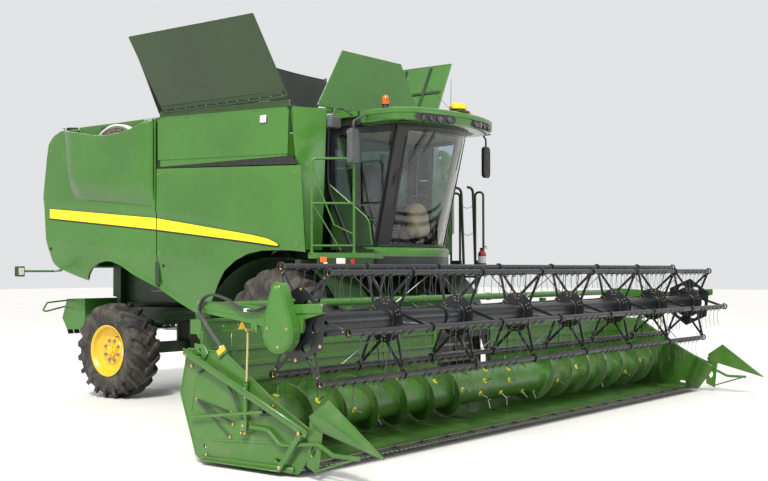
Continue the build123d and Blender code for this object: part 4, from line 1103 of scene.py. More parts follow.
def wheels():
    for sx, w in ((-1, "right"), (1, "left")):
        K = Kit("tyre_rubber")
        tyre(K, 1.410, 3.710, 0.690, 0.480, 0.365, 19, sx, 0.040, 0.10)
        K.build(f"rear_tyre_tread_{w}", f"rear_wheel_{w}", (f"rear_tyre_{w}",), "tyre_rubber", 32)
        K = Kit("yellow_paint")
        rim(K, 1.410, 3.710, 0.690, 0.480, 0.365, 1.484, 8, 0.150, sx)
        K.build(f"rear_wheel_disc_{w}", f"rear_wheel_{w}", (f"rear_rim_{w}",), "yellow_paint", 35)
        K = Kit("tyre_rubber")
        tyre(K, 1.265, 0.400, 0.950, 0.620, 0.420, 21, sx, 0.048, 0.31)
        K.build(f"front_tyre_tread_{w}", f"front_wheel_{w}", (f"front_tyre_{w}",), "tyre_rubber", 32)
        K = Kit("yellow_paint")
        rim(K, 1.265, 0.400, 0.950, 0.620, 0.420, 1.236, 10, 0.200, sx)
        K.build(f"front_wheel_disc_{w}", f"front_wheel_{w}", (f"front_rim_{w}",), "yellow_paint", 35)


# ------------------------------------------------------------------ cab
def cabx(y, z):
    """Half width of the cab's outer wall."""
    t = (z - 2.12) / 1.58
    rear, nose, py = 0.88 + 0.07 * t, 0.72 + 0.02 * t, -0.60 - 0.36 * t
    return rear + (nose - rear) * (0.06 - y) / (0.06 - py)


def arc3(a, b, c, n):
    """Points from a to c by way of b, on the circle through them."""
    ax, ay, bx, by, cx, cy = *a, *b, *c
    d = 2 * (ax * (by - cy) + bx * (cy - ay) + cx * (ay - by))
    ux = ((ax * ax + ay * ay) * (by - cy) + (bx * bx + by * by) * (cy - ay) + (cx * cx + cy * cy) * (ay - by)) / d
    uy = ((ax * ax + ay * ay) * (cx - bx) + (bx * bx + by * by) * (ax - cx) + (cx * cx + cy * cy) * (bx - ax)) / d
    r = math.hypot(ax - ux, ay - uy)
    t0, t1, t2 = (math.atan2(q - uy, p - ux) for p, q in (a, b, c))
    while t1 < t0:
        t1 += 2 * pi
    while t2 < t1:
        t2 += 2 * pi
    if t2 - t0 > 2 * pi:
        t0, t1, t2 = (math.atan2(q - uy, p - ux) for p, q in (a, b, c))
        while t1 > t0:
            t1 -= 2 * pi
        while t2 > t1:
            t2 -= 2 * pi
    return [(ux + r * cos(t0 + (t2 - t0) * k / n), uy + r * sin(t0 + (t2 - t0) * k / n)) for k in range(n + 1)]


def roof_outline(d=0.0):
    """Plan outline of the roof, drawn in by d."""
    right = [(-1.05, 0.04), (-1.06, -1.12), (-0.86, -1.33)]
    front = arc3((-0.86, -1.33), (0, -1.5), (0.86, -1.33), 20)
    pts = right[:2] + front + [(1.06, -1.12), (1.05, 0.04)]
    if d:
        pts = inset_loops([ccw(pts)], d)[0]
    else:
        pts = ccw(pts)
    return pts


def cushion(K, c, size, crown=0.03, n=14, power=3.2, rot=None, bow=0.0):
    """Soft block: rounded all over, crowned faces, sides drawn in between the corners."""
    c = np.asarray(c, float)
    sx, sy, sz = (v / 2 for v in size)
    V, idx = [], {}
    def pt(u, v, w):
        L = (abs(u) ** power + abs(v) ** power + abs(w) ** power) ** (1 / power)
        u, v, w = u / L, v / L, w / L
        p = np.array((u * sx, v * sy, w * sz))
        p[2] += crown * (1 - u * u) * (1 - v * v) * (1 if w > 0 else 0.3 if w < 0 else 0) * abs(w)
        p[1] *= 1 - bow * (1 - abs(u)) * 0.2
        if rot is not None:
            p = rot @ p
        return c + p
    for ax in range(3):
        for s in (-1, 1):
            rows = []
            for i in range(n + 1):
                row = []
                for j in range(n + 1):
                    a, b = -1 + 2 * i / n, -1 + 2 * j / n
                    q = [0, 0, 0]
                    q[ax], q[(ax + 1) % 3], q[(ax + 2) % 3] = s, a, b
                    row.append(pt(*q))
                rows.append(row)
            K.grid(rows, flip=s < 0)


def rotx(a):
    return np.array(((1, 0, 0), (0, cos(a), -sin(a)), (0, sin(a), cos(a))))


def lens(K, p, n, w, h, glass="lamp_glass", shell="lamp_reflector", ref=(0, 0, 1), deep=0.035):
    """Oval lamp: bowl, bezel and domed glass; w and h are half sizes."""
    p, n = np.asarray(p, float), np.asarray(n, float)
    n = n / np.linalg.norm(n)
    u = np.cross(np.asarray(ref, float), n)
    u /= np.linalg.norm(u)
    v = np.cross(n, u)
    def ring(k, t, m=28):
        return [p + u * w * k * cos(2 * pi * i / m) + v * h * k * sin(2 * pi * i / m) + n * t for i in range(m)]
    K.use("black_plastic")
    K.grid([ring(1.22, -0.006), ring(1.20, 0.004), ring(1.12, 0.009), ring(1.02, 0.007), ring(1.0, 0.0)], close_u=True)
    K.use(shell)
    K.grid([ring(1.0, 0.001), ring(0.9, -deep * 0.5), ring(0.6, -deep * 0.9), ring(0.2, -deep), ring(0.01, -deep)], close_u=True)
    K.grid([ring(0.22, -deep), ring(0.22, -deep * 0.4), ring(0.12, -deep * 0.3), ring(0.01, -deep * 0.3)], close_u=True)
    K.use(glass)
    K.grid([ring(1.03, 0.003), ring(0.9, 0.007), ring(0.6, 0.011), ring(0.3, 0.0125), ring(0.01, 0.013)], close_u=True)


def cab():
    for n in ("cab_shell", "cab_door"):
        look(n, "black_paint")
    look("cab_glass", "tinted_glass")
    look("cab_door_glass", "side_glass")
    # roof: thin cap over the whole plan, deep nose in front, dark soffit behind
    K = Kit("green_paint")
    def stack(levels, closed=True):
        rows = []
        for z, d in levels:
            rows.append([(x, y, z) for x, y in roof_outline(d)])
        K.grid(rows, close_u=True)
    stack([(3.800, 0.030), (3.801, 0.006), (3.806, 0.0), (3.846, 0.0), (3.862, 0.006), (3.878, 0.030), (3.886, 0.075), (3.889, 0.16), (3.890, 0.30), (3.892, 0.55)])
    top = roof_outline(0.55)
    K.plate(ccw(top), lambda u, v: (u, v, 3.8905), (0, 0, 1), 0.003)
    K.plate(ccw(roof_outline(0.030)), lambda u, v: (u, v, 3.803), (0, 0, 1), 0.006)
    # nose below the cap, from y -0.56 forward
    nose = [p for p in roof_outline(0.0) if p[1] < -1.0]
    fr = sorted(nose, key=lambda p: p[0])
    line = [(-1.045, -0.56), (-1.054, -0.8)] + fr + [(1.054, -0.8), (1.045, -0.56)]
    rows = []
    for z, d in ((3.800, 0.004), (3.795, 0.0), (3.735, 0.004), (3.715, 0.014), (3.704, 0.035), (3.700, 0.09), (3.700, 0.25)):
        row = []
        for x, y in line:
            L = math.hypot(x, y + 0.45)
            k = d / L
            row.append((x - x * k, y - (y + 0.45) * k, z))
        rows.append(row)
    K.grid(rows, flip=True)
    K.use("black_plastic")
    K.box(-0.98, 0.98, -1.0, 0.02, 3.704, 3.80, 0.01)
    K.beam((-1.0, -0.98, 3.708), (1.0, -0.98, 3.708), 0.5, 0.012, bev=0.004)
    for s in (-1, 1):
        K.beam((s * 1.052, -0.56, 3.69), (s * 1.052, -0.56, 3.868), 0.022, 0.03, (0, 1, 0), 0.004)
    # lamp bands: dark recess following the fascia, oval lamps in it
    P1 = [p for p in arc3((-0.90, -1.31), (0, -1.505), (0.90, -1.31), 60)]
    def on_front(x, out=0.0):
        y = interp(x, P1)
        y2, y1 = interp(x + 0.01, P1), interp(x - 0.01, P1)
        n = np.array(((y2 - y1), -0.02, 0.0))
        n /= np.linalg.norm(n)
        return np.array((x, y, 0)) + n * out, n
    for x0, x1, lamps in ((-0.885, -0.25, (-0.775, -0.665, -0.525, -0.365)), (0.10, 0.735, (0.195, 0.315, 0.455, 0.60))):
        K.use("black_plastic")
        rows = []
        for i in range(25):
            x = x0 + (x1 - x0) * i / 24
            e = min(1.0, min(i, 24 - i) / 3)
            hh = 0.052 * math.sqrt(max(0.02, 1 - (1 - e) ** 2))
            row = []
            for k in range(9):
                t = -1 + k / 4
                q, n = on_front(x, 0.006)
                row.append((q[0], q[1], 3.752 + hh * t))
            rows.append(row)
        K.grid(rows, flip=False)
        K.use("green_paint")
        K.tube([(on_front(x0 + (x1 - x0) * i / 24, 0.008)[0][0], on_front(x0 + (x1 - x0) * i / 24, 0.008)[0][1], 3.806) for i in range(25)], 0.007, 8)
        for i, x in enumerate(lamps):
            q, n = on_front(x, 0.012)
            big = (i >= 2) if x < 0 else (i <= 1)
            lens(K, (q[0], q[1], 3.750), n, 0.052 if big else 0.034, 0.044 if big else 0.040)
    K.use("yellow_paint")
    K.build("cab_roof_shell", "chassis", ("cab_roof",), "green_paint", 35)

    # beacons, receiver dome, aerials
    K = Kit("black_plastic")
    for x in (-0.94, 0.94):
        K.lathe((x, -0.90, 3.872), (0, 0, 1), [(0, 0.055), (0.02, 0.055), (0.028, 0.045), (0.05, 0.042), (0.055, 0.05), (0.062, 0.05)], 28)
        K.use("orange_lens")
        K.lathe((x, -0.90, 3.934), (0, 0, 1), [(0, 0.048), (0.01, 0.05), (0.05, 0.049), (0.085, 0.042), (0.108, 0.028), (0.118, 0.012), (0.12, 0.0)], 28)
        for k in range(7):
            K.lathe((x, -0.90, 3.944 + k * 0.010), (0, 0, 1), [(0, 0.050), (0.003, 0.0525), (0.006, 0.050)], 28)
        K.use("black_plastic")
    K.use("dark_green_paint")
    K.box(-0.06, 0.16, -1.44, -1.20, 3.886, 3.925, 0.012)
    K.lathe((0.05, -1.32, 3.92), (0, 0, 1), [(0, 0.085), (0.012, 0.09), (0.018, 0.1)], 40)
    K.use("dome_yellow")
    K.lathe((0.05, -1.32, 3.938), (0, 0, 1), [(0, 0.100), (0.004, 0.112), (0.03, 0.115), (0.055, 0.108), (0.075, 0.088), (0.088, 0.055), (0.094, 0.02), (0.095, 0.0)], 48)
    K.use("black_plastic")
    K.box(-0.13, -0.09, -1.36, -1.28, 3.885, 3.905, 0.004)
    K.lathe((-0.11, -1.32, 3.90), (0, 0, 1), [(0, 0.014), (0.05, 0.012), (0.06, 0.006), (0.06, 0.0)], 14)
    K.tube([(-0.11, -1.32, 3.95), (-0.105, -1.322, 4.32)], 0.0032, 6)
    K.tube([(-0.11, -1.31, 3.93), (0.02, -0.80, 4.34)], 0.0026, 6)
    K.build("roof_beacons_and_aerials", "chassis", (), "grey_plastic")

    # chin under the windscreen: green skin over the sill, lamps, lower lip
    K = Kit("green_paint")
    base = [(-0.798, -0.47), (-0.788, -0.645)] + arc3((-0.788, -0.645), (0, -0.970, ), (0.788, -0.645), 24)[1:-1] + [(0.788, -0.645), (0.798, -0.47)]
    rows = []
    for z, d in ((2.150, 0.10), (2.148, 0.05), (2.138, 0.018), (2.120, 0.002), (2.10, 0.0), (1.97, 0.018), (1.915, 0.032), (1.900, 0.045), (1.892, 0.08)):
        row = []
        for x, y in base:
            L = math.hypot(x, y + 0.2)
            row.append((x - x * d / L, y - (y + 0.2) * d / L, z))
        rows.append(row)
    K.grid(rows, flip=False)
    K.box(-0.775, 0.775, -0.64, -0.40, 2.132, 2.150, 0.006)
    for s in (-1, 1):
        # bright bevelled cheeks at the corners
        K.plate(ccw([(0.0, 1.905), (0.30, 1.90), (0.22, 2.135), (0.0, 2.145)]), lambda u, v, s=s: (s * (0.797 - u * 0.80), -0.52 - u * 0.62 - 0.012, v),
                np.array((s * -0.62, -0.80, 0)) / 1.012, 0.012, 0.003)
        lens(K, (s * 0.700, -0.690, 1.985), (s * -0.0 + s * 0.35, -0.93, 0.0), 0.034, 0.034)
        K.use("green_paint")
        lens(K, (s * 0.560, -0.775, 1.965), (s * 0.35, -0.93, 0.0), 0.022, 0.034)
        K.use("green_paint")
    K.use("stripe_yellow")
    K.tube([(x, y - 0.002, 1.893) for x, y in arc3((-0.75, -0.625), (0, -0.935), (0.75, -0.625), 30)], 0.006, 6)
    # dark green block under the chin and the beams beside it: painted shade under the cab
    K.use("dark_green_paint")
    K.box(-0.70, 0.70, -0.60, 0.02, 1.78, 1.892, 0.01)
    for s in (-1, 1):
        K.beam((s * 0.80, 0.02, 2.06), (s * 0.795, -0.60, 2.06), 0.05, 0.13, bev=0.01)
    K.build("cab_chin", "chassis", (), "green_paint", 35)

    # pillars, side skins, wiper, inner trim
    K = Kit("black_paint")
    for s in (-1, 1):
        for k in range(1):
            rows = []
            for i in range(17):
                t = i / 16
                z = 2.14 + 1.56 * t
                hx, py = 0.72 + 0.02 * t, -0.60 - 0.36 * t
                w = 0.055 + 0.02 * (1 - t)
                rows.append([(s * (hx + 0.006), py + w, z), (s * (hx + 0.022), py + w * 0.55, z), (s * (hx + 0.022), py - 0.005, z), (s * (hx + 0.004), py - 0.026, z), (s * (hx - 0.075), py - 0.050, z), (s * (hx - 0.085), py - 0.035, z)])
            K.grid(rows, flip=s < 0)
        pts = [(s * 0.958, 0.035, 3.70), (s * 0.955, 0.055, 3.35), (s * 0.936, 0.060, 2.98), (s * 0.905, -0.02, 2.72), (s * 0.845, -0.235, 2.22), (s * 0.84, -0.26, 2.16)]
        K.tube(smooth_path(pts, 6), 0.030, 12, flat=0.8)
    K.use("dark_green_paint")
    rows = [[(-cabx(y, z) - 0.008, y, z) for z in np.linspace(2.165, zt, 8)] for y, zt in ((0.03, 2.955), (-0.08, 2.86), (-0.2, 2.755), (-0.35, 2.63), (-0.47, 2.53), (-0.505, 2.36), (-0.52, 2.22))]
    K.grid(rows, flip=True)
    K.use("green_paint")
    K.tube([(-cabx(y, z) - 0.012, y, z) for y, z in ((0.05, 2.975), (-0.2, 2.765), (-0.46, 2.545), (-0.505, 2.47), (-0.53, 2.18))], 0.013, 8)
    K.use("black_plastic")
    K.tube([(x, y - 0.012, 3.695) for x, y in arc3((-0.74, -0.96), (0, -1.29), (0.74, -0.96), 24)], 0.022, 10)
    K.tube([(x, y - 0.008, 2.165) for x, y in arc3((-0.72, -0.60), (0, -0.88), (0.72, -0.60), 24)], 0.020, 10)
    # wiper: twin arms from the roof, blade across the screen
    K.tube([(-0.42, -1.30, 3.62), (-0.50, -1.24, 3.46), (-0.56, -1.20, 3.36)], 0.014, 8)
    K.tube([(-0.42, -1.262, 3.58), (-0.56, -1.165, 3.33), (-0.70, -0.92, 3.10), (-0.715, -0.86, 2.98)], 0.006, 6)
    K.tube([(-0.40, -1.265, 3.56), (-0.54, -1.165, 3.30), (-0.69, -0.925, 3.06), (-0.705, -0.84, 2.93)], 0.006, 6)
    K.tube([(-0.66, -1.03, 3.55), (-0.655, -0.93, 3.2), (-0.65, -0.86, 2.9), (-0.64, -0.80, 2.62)], 0.009, 6)
    K.use("tan_trim")
    rows = []
    for i in range(17):
        t = i / 16
        z = 2.19 + 1.47 * t
        hx, py = 0.72 + 0.02 * t, -0.60 - 0.36 * t
        fl = 0.10 * max(0, (t - 0.86) / 0.14) ** 1.5 + 0.05 * max(0, (0.1 - t) / 0.1)
        rows.append([(hx - 0.030, py + 0.03, z), (hx - 0.036, py - 0.030, z), (hx - 0.105 - fl, py - 0.065, z), (hx - 0.135 - fl, py - 0.03, z), (hx - 0.10, py + 0.05, z), (hx - 0.05, py + 0.06, z)])
    K.grid(rows, close_u=True)
    K.use("black_plastic")
    K.rod((0.62, -0.78, 3.20), (0.62, -0.83, 3.20), 0.04, 16)
    K.box(0.50, 0.60, -0.70, -0.60, 2.36, 2.48, 0.02)
    K.use("tan_trim")
    K.box(-0.70, 0.70, -0.95, -0.02, 3.63, 3.66, 0.01)
    K.box(-0.88, 0.88, -0.005, 0.012, 2.17, 2.63, 0.01)
    K.use("black_plastic")
    K.box(-0.66, 0.66, -0.60, -0.01, 2.162, 2.176, 0.004)
    K.build("cab_pillars_and_wiper", "chassis", (), "black_paint", 35)

    # inside: console, displays, wheel, levers
    K = Kit("console")
    cushion(K, (-0.42, -0.30, 2.62), (0.24, 0.66, 0.20), 0.03)
    cushion(K, (-0.42, -0.62, 2.74), (0.16, 0.16, 0.12), 0.02)
    K.beam((-0.42, -0.20, 2.18), (-0.42, -0.26, 2.55), 0.18, 0.30, (0, 1, 0), 0.03)
    K.use("black_plastic")
    K.tube([(-0.44, -0.60, 2.78), (-0.45, -0.64, 2.90), (-0.44, -0.62, 2.94)], 0.018, 12)
    K.lathe((-0.44, -0.62, 2.93), (0, -0.2, 1), [(-0.03, 0.0), (-0.02, 0.025), (0.0, 0.034), (0.025, 0.028), (0.04, 0.0)], 16)
    K.obox((-0.56, -0.70, 3.00), (0.125, 0.02, 0), (-0.003, 0.014, 0.002), (0, -0.01, 0.085), 0.008)
    K.obox((-0.60, -0.60, 3.28), (0.10, 0.02, 0), (-0.003, 0.014, 0.002), (0, -0.01, 0.065), 0.008)
    K.tube([(-0.55, -0.68, 2.93), (-0.50, -0.50, 2.72)], 0.014, 8)
    K.tube([(-0.62, -0.58, 3.22), (-0.68, -0.62, 2.9), (-0.66, -0.5, 2.6)], 0.010, 8)
    K.use("grey_plastic")
    K.obox((-0.56, -0.6865, 3.00), (0.112, 0.018, 0), (-0.0006, 0.003, 0.0004), (0, -0.009, 0.073), 0.001)
    K.use("tan_trim")
    cushion(K, (0.0, -0.70, 2.50), (0.34, 0.22, 0.46), 0.02, rot=rotx(rad(-12)))
    K.use("black_plastic")
    K.tube([(0, -0.76, 2.2), (0, -0.70, 2.55), (0, -0.645, 2.765)], 0.035, 14)
    wv = np.array((0, 0.35, 1)) / math.hypot(0.35, 1)
    wu = np.cross(wv, (1, 0, 0))
    C = np.array((0, -0.64, 2.782))
    K.tube([C + np.array((1, 0, 0)) * 0.185 * cos(t) + wu * 0.185 * sin(t) for t in np.linspace(0, 2 * pi, 49)[:-1]], 0.014, 10, closed=True)
    for t in (0.2, pi - 0.2, -pi / 2):
        K.tube([C + (np.array((1, 0, 0)) * cos(t) + wu * sin(t)) * r - wv * 0.02 * (1 - r / 0.18) for r in (0.03, 0.1, 0.18)], 0.012, 8)
    K.lathe(C - wv * 0.03, wv, [(0, 0.0), (0, 0.05), (0.02, 0.052), (0.028, 0.04), (0.03, 0)], 24)
    K.use("console")
    cushion(K, (0.62, -0.35, 2.42), (0.22, 0.5, 0.4), 0.02)
    K.build("cab_console", "chassis", ("steering_column",), "black_plastic", 40)
    K = Kit("seat_fabric")
    cushion(K, (0, -0.235, 2.575), (0.50, 0.43, 0.14), 0.03, bow=0.3)
    for s in (-1, 1):
        cushion(K, (s * 0.215, -0.235, 2.60), (0.10, 0.42, 0.12), 0.02)
    K.build("seat_cushion", "chassis", ("operator_seat",), "seat_fabric", 60)
    K = Kit("seat_fabric")
    cushion(K, (0, -0.042, 2.93), (0.48, 0.11, 0.60), 0.0)
    for s in (-1, 1):
        cushion(K, (s * 0.20, -0.062, 2.90), (0.09, 0.11, 0.50), 0.0)
    cushion(K, (0, -0.045, 3.235), (0.30, 0.10, 0.16), 0.0)
    K.build("seat_back", "chassis", ("operator_seat",), "seat_fabric", 60)
    K = Kit("black_plastic")
    K.box(-0.14, 0.14, -0.33, -0.06, 2.17, 2.30, 0.02)
    for k in range(5):
        K.box(-0.12 + 0.004 * k, 0.12 - 0.004 * k, -0.31, -0.08, 2.30 + 0.04 * k, 2.33 + 0.04 * k, 0.012)
    K.use("seat_fabric")
    K.use("black_plastic")
    cushion(K, (0.335, -0.25, 2.70), (0.08, 0.36, 0.06), 0.01)
    K.tube([(0.335, -0.10, 2.68), (0.30, -0.05, 2.60), (0.25, -0.06, 2.55)], 0.014, 8)
    K.build("seat_base", "chassis", ("operator_seat",), "black_plastic", 40)


def mirrors_and_steps():
    K = Kit("grey_plastic")
    # tall mirror, small wide-angle mirror and the left one: rounded housings with glass behind
    for c, size in (((-1.35, -0.715, 3.385), (0.185, 0.075, 0.44)), ((-1.40, -0.445, 3.70), (0.21, 0.07, 0.15)), ((1.27, -0.965, 3.365), (0.165, 0.06, 0.44))):
        K.use("grey_plastic" if c[0] < 0 else "black_plastic")
        cushion(K, c, size, 0.0, 16, 5.5)
        K.use("lamp_reflector")
        K.obox((c[0], c[1] + size[1] / 2 - 0.002, c[2]), (size[0] * 0.42, 0, 0), (0, 0.003, 0), (0, 0, size[2] * 0.44), 0.002)
    K.use("grey_plastic")
    K.tube([(-1.35, -0.715, 3.59), (-1.35, -0.715, 3.70), (-1.11, -0.70, 3.80), (-1.055, -0.70, 3.80)], 0.013, 10, 0.05)
    K.tube([(-1.40, -0.445, 3.77), (-1.40, -0.445, 3.86), (-1.30, -0.45, 3.90), (-1.11, -0.45, 3.84), (-1.055, -0.45, 3.83)], 0.011, 10, 0.04)
    K.use("black_plastic")
    K.tube([(1.27, -0.965, 3.57), (1.27, -0.965, 3.69), (1.115, -0.965, 3.79), (1.062, -0.965, 3.79)], 0.013, 10, 0.05)
    K.lathe((-1.35, -0.715, 3.60), (0, 0, 1), [(0, 0.03), (0.03, 0.03), (0.04, 0.02), (0.04, 0)], 16)
    K.build("mirror_heads", "chassis", ("mirrors",), "grey_plastic", 40)

    look("platform_right", "green_paint")
    # the left platform gets the darker green: painted shade on the side away from the light
    look("platform_left", "painted_shade_green")
    K = Kit("black_plastic")
    # tread strips, kick edge and reflectors of the right platform
    for k in range(9):
        t = k / 8
        K.beam((-1.56 + 0.60 * t, -0.20 - 0.01 * t, 2.074), (-1.56 + 0.72 * t, -0.33 - 0.40 * t, 2.074), 0.012, 0.008, bev=0.002)
    d = np.array((0.58, -0.44, 0)) / 0.728
    nn = np.array((-0.604, -0.797, 0))
    def slab(x, y, z, w, h, mat, out=0.012):
        K.use(mat)
        K.obox(np.array((x, y, z)) + nn * out, d * w / 2, nn * 0.008, (0, 0, h / 2), 0.004)
    K.use("dark_green_paint")
    K.obox(np.array((-1.31, -0.55, 1.955)), d * 0.36, nn * 0.012, (0, 0, 0.055), 0.006)
    slab(-1.535, -0.380, 1.985, 0.085, 0.07, "orange_lens", 0.022)
    slab(-1.515, -0.395, 1.935, 0.05, 0.035, "white_paint", 0.022)
    slab(-1.36, -0.512, 1.962, 0.115, 0.085, "white_paint", 0.024)
    slab(-1.24, -0.603, 1.957, 0.05, 0.07, "red_lens", 0.022)
    K.use("yellow_paint")
    K.box(-1.60, -1.55, -0.235, -0.205, 2.045, 2.072, 0.004)
    # rail clamps and the sloping stays of the guard rail
    K.use("green_paint")
    K.tube([(-1.56, -0.215, 2.69), (-1.47, -0.30, 2.50), (-1.30, -0.47, 2.10)], 0.009, 8)
    K.tube([(-1.56, -0.215, 3.22), (-1.50, -0.275, 2.90), (-1.36, -0.41, 2.42), (-1.19, -0.59, 2.30)], 0.011, 8)
    for z in (2.09,):
        for p in ((-1.56, -0.215), (-1.19, -0.59)):
            K.lathe((*p, 2.068), (0, 0, 1), [(0, 0.038), (0.01, 0.038), (0.014, 0.024), (0.03, 0.022), (0.03, 0)], 20)
    # left side: extinguisher, chains, treads, toe board, ladder rungs with grip
    K.use("red_paint")
    K.lathe((1.70, -0.615, 1.90), (0, 0, 1), [(0, 0.0), (0, 0.05), (0.01, 0.058), (0.19, 0.058), (0.215, 0.05), (0.235, 0.028), (0.245, 0.02), (0.245, 0.0)], 28)
    K.use("white_paint")
    K.lathe((1.70, -0.615, 1.955), (0, 0, 1), [(0, 0.0592), (0.10, 0.0592)], 28)
    K.use("black_plastic")
    K.box(1.675, 1.725, -0.64, -0.59, 2.14, 2.175, 0.005)
    K.tube([(1.70, -0.615, 2.17), (1.70, -0.68, 2.20), (1.70, -0.70, 2.16)], 0.007, 6)
    K.tube([(1.72, -0.60, 2.16), (1.765, -0.62, 2.08), (1.76, -0.63, 1.96)], 0.009, 8)
    K.lathe((1.70, -0.615, 1.93), (0, 0, 1), [(0, 0.0595), (0.018, 0.0595)], 28)
    K.lathe((1.70, -0.615, 2.06), (0, 0, 1), [(0, 0.0595), (0.018, 0.0595)], 28)
    K.use("tine_steel")
    for z in (2.45, 2.85):
        a, b = np.array((1.745, -0.20, z)), np.array((1.745, -0.47, z))
        for k in range(18):
            t = k / 17
            p = a + (b - a) * t - np.array((0, 0, 0.085 * 4 * t * (1 - t)))
            ax = np.array((1, 0, 0)) if k % 2 else np.array((0, 0, 1))
            dd = (b - a) / np.linalg.norm(b - a)
            K.tube([p + dd * 0.011 * cos(q) + ax * 0.006 * sin(q) for q in np.linspace(0, 2 * pi, 9)[:-1]], 0.002, 5, closed=True)
    K.use("green_paint")
    K.beam((1.772, -0.02, 1.95), (1.772, -0.21, 1.95), 0.012, 0.09, bev=0.003)
    K.beam((1.772, -0.45, 1.95), (1.772, -0.63, 1.95), 0.012, 0.09, bev=0.003)
    K.use("black_plastic")
    for k in range(5):
        for j in range(7):
            K.box(1.775, 1.845, -0.428 + 0.03 * j, -0.413 + 0.03 * j, 0.725 + 0.26 * k, 0.731 + 0.26 * k, 0.0015)
    for k in range(10):
        K.beam((1.02 + 0.075 * k, -0.02, 1.931), (1.02 + 0.075 * k, -0.60, 1.931), 0.012, 0.008, bev=0.002)
    K.build("platform_fittings", "chassis", (), "black_plastic", 40)


# ------------------------------------------------------------------ header
def header_table():
    look("header_frame", "green_header")
    K = Kit("green_header")
    for s in (-1, 1):
        for z in (0.60, 0.76, 0.92, 1.08):                        # pressed bands of the back sheet
            K.beam((s * 0.66, -1.431, z), (s * 4.485, -1.431, z), 0.014, 0.05, (0, 0, 1), 0.005)
        for x in (1.62, 2.88, 4.08):                              # upright seams
            K.beam((s * x, -1.430, 0.46), (s * x, -1.430, 1.235), 0.012, 0.09, (1, 0, 0), 0.004)
        K.beam((s * 0.63, -1.436, 0.40), (s * 0.63, -1.436, 1.235), 0.024, 0.07, (1, 0, 0), 0.006)
        K.beam((s * 0.60, -1.395, 0.455), (s * 4.48, -1.395, 0.455), 0.03, 0.05, (0, 0, 1), 0.01)
        for k in range(6):                                        # gussets between the beam and the back sheet
            x = s * (0.95 + 0.68 * k)
            K.plate(ccw([(0, 0), (0.0, -0.12), (0.07, 0)]), lambda u, v, x=x: (x, -1.43 + u * 0.3, 1.235 + v), (1, 0, 0), 0.008, 0.002)
    K.beam((-4.495, -1.408, 1.365), (4.495, -1.408, 1.365), 0.016, 0.035, (0, 0, 1), 0.006)
    K.beam((-4.495, -1.408, 1.245), (4.495, -1.408, 1.245), 0.016, 0.035, (0, 0, 1), 0.006)
    # wear strips of the floor and the lip over the knife
    for k in range(11):
        x = -4.2 + 0.84 * k
        K.beam((x, -2.58, 0.082), (x, -1.82, 0.106), 0.06, 0.006, (0, 0, 1), 0.002)
    K.use("worn_steel")
    K.beam((-4.49, -2.585, 0.084), (4.49, -2.585, 0.084), 0.05, 0.008, (0, 0, 1), 0.003)
    K.use("yellow_paint")
    for x in (-3.95, -2.5, -0.95, 0.95, 2.5, 3.95):               # blank warning triangles
        K.plate(ccw([(-0.055, 0), (0.055, 0), (0, 0.09)]), lambda u, v, x=x: (x + u, -1.404, 1.262 + v), (0, -1, 0), 0.004, 0.001)
    K.use("steel")
    for s in (-1, 1):
        for k in range(19):
            K.bolt((s * (0.72 + 0.205 * k), -1.401, 1.305), (0, -1, 0), 0.009, 0.007)
    K.use("black_paint")
    K.beam((-0.60, -1.438, 1.035), (0.60, -1.438, 1.035), 0.02, 0.08, (0, 0, 1), 0.005)
    for s in (-1, 1):
        K.beam((s * 0.585, -1.438, 0.41), (s * 0.585, -1.438, 1.07), 0.02, 0.06, (1, 0, 0), 0.005)
        K.plate(ccw([(0, 0), (0.16, 0), (0, 0.30)]), lambda u, v, s=s: (s * (0.56 - u), -1.42, 1.0 - v), (0, -1, 0), 0.008, 0.002)
    K.use("white_paint")
    for k in range(12):                                           # stripper teeth under the throat
        x = -0.50 + k * 0.0909
        K.plate(ccw([(-0.016, 0), (0.016, 0), (0.009, 0.075), (-0.009, 0.075)]), lambda u, v, x=x: (x + u, -1.445, 0.425 + v), (0, -1, 0), 0.010, 0.003)
    K.build("table_details", "header", (), "green_paint")
    K = Kit("black_paint")
    # throat inside: slatted conveyor chain seen through the opening
    # black plate behind the slats: painted shade inside the throat
    K.box(-0.55, 0.55, -1.30, -1.295, 0.44, 0.98, 0.001)
    for k in range(5):
        z = 0.50 + 0.10 * k
        K.use("worn_steel")
        K.beam((-0.50, -1.335 + 0.01 * k, z), (0.50, -1.335 + 0.01 * k, z), 0.03, 0.035, (0, 0, 1), 0.004)
        K.use("black_paint")
    for x in (-0.42, 0.0, 0.42):
        K.beam((x, -1.325, 0.46), (x, -1.30, 0.96), 0.03, 0.028, (1, 0, 0), 0.004)
    K.build("throat_conveyor", "header", (), "black_paint")


SHEET = [(-1.25, 1.09), (-1.15, 0.66), (-1.37, 0.08), (-1.42, 0.050), (-1.48, 0.035), (-2.50, 0.038), (-2.70, 0.04), (-2.96, 0.375), (-2.43, 0.65), (-1.78, 1.06), (-1.70, 1.08)]


def oval(cy, cz, a, b, turn=0.0, n=18, flat=0.0):
    out = []
    for i in range(n):
        t = 2 * pi * i / n
        u = a * cos(t) + (flat if cos(t) > 0 else -flat)
        v = b * sin(t)
        out.append((cy + u * cos(turn) - v * sin(turn), cz + u * sin(turn) + v * cos(turn)))
    return out


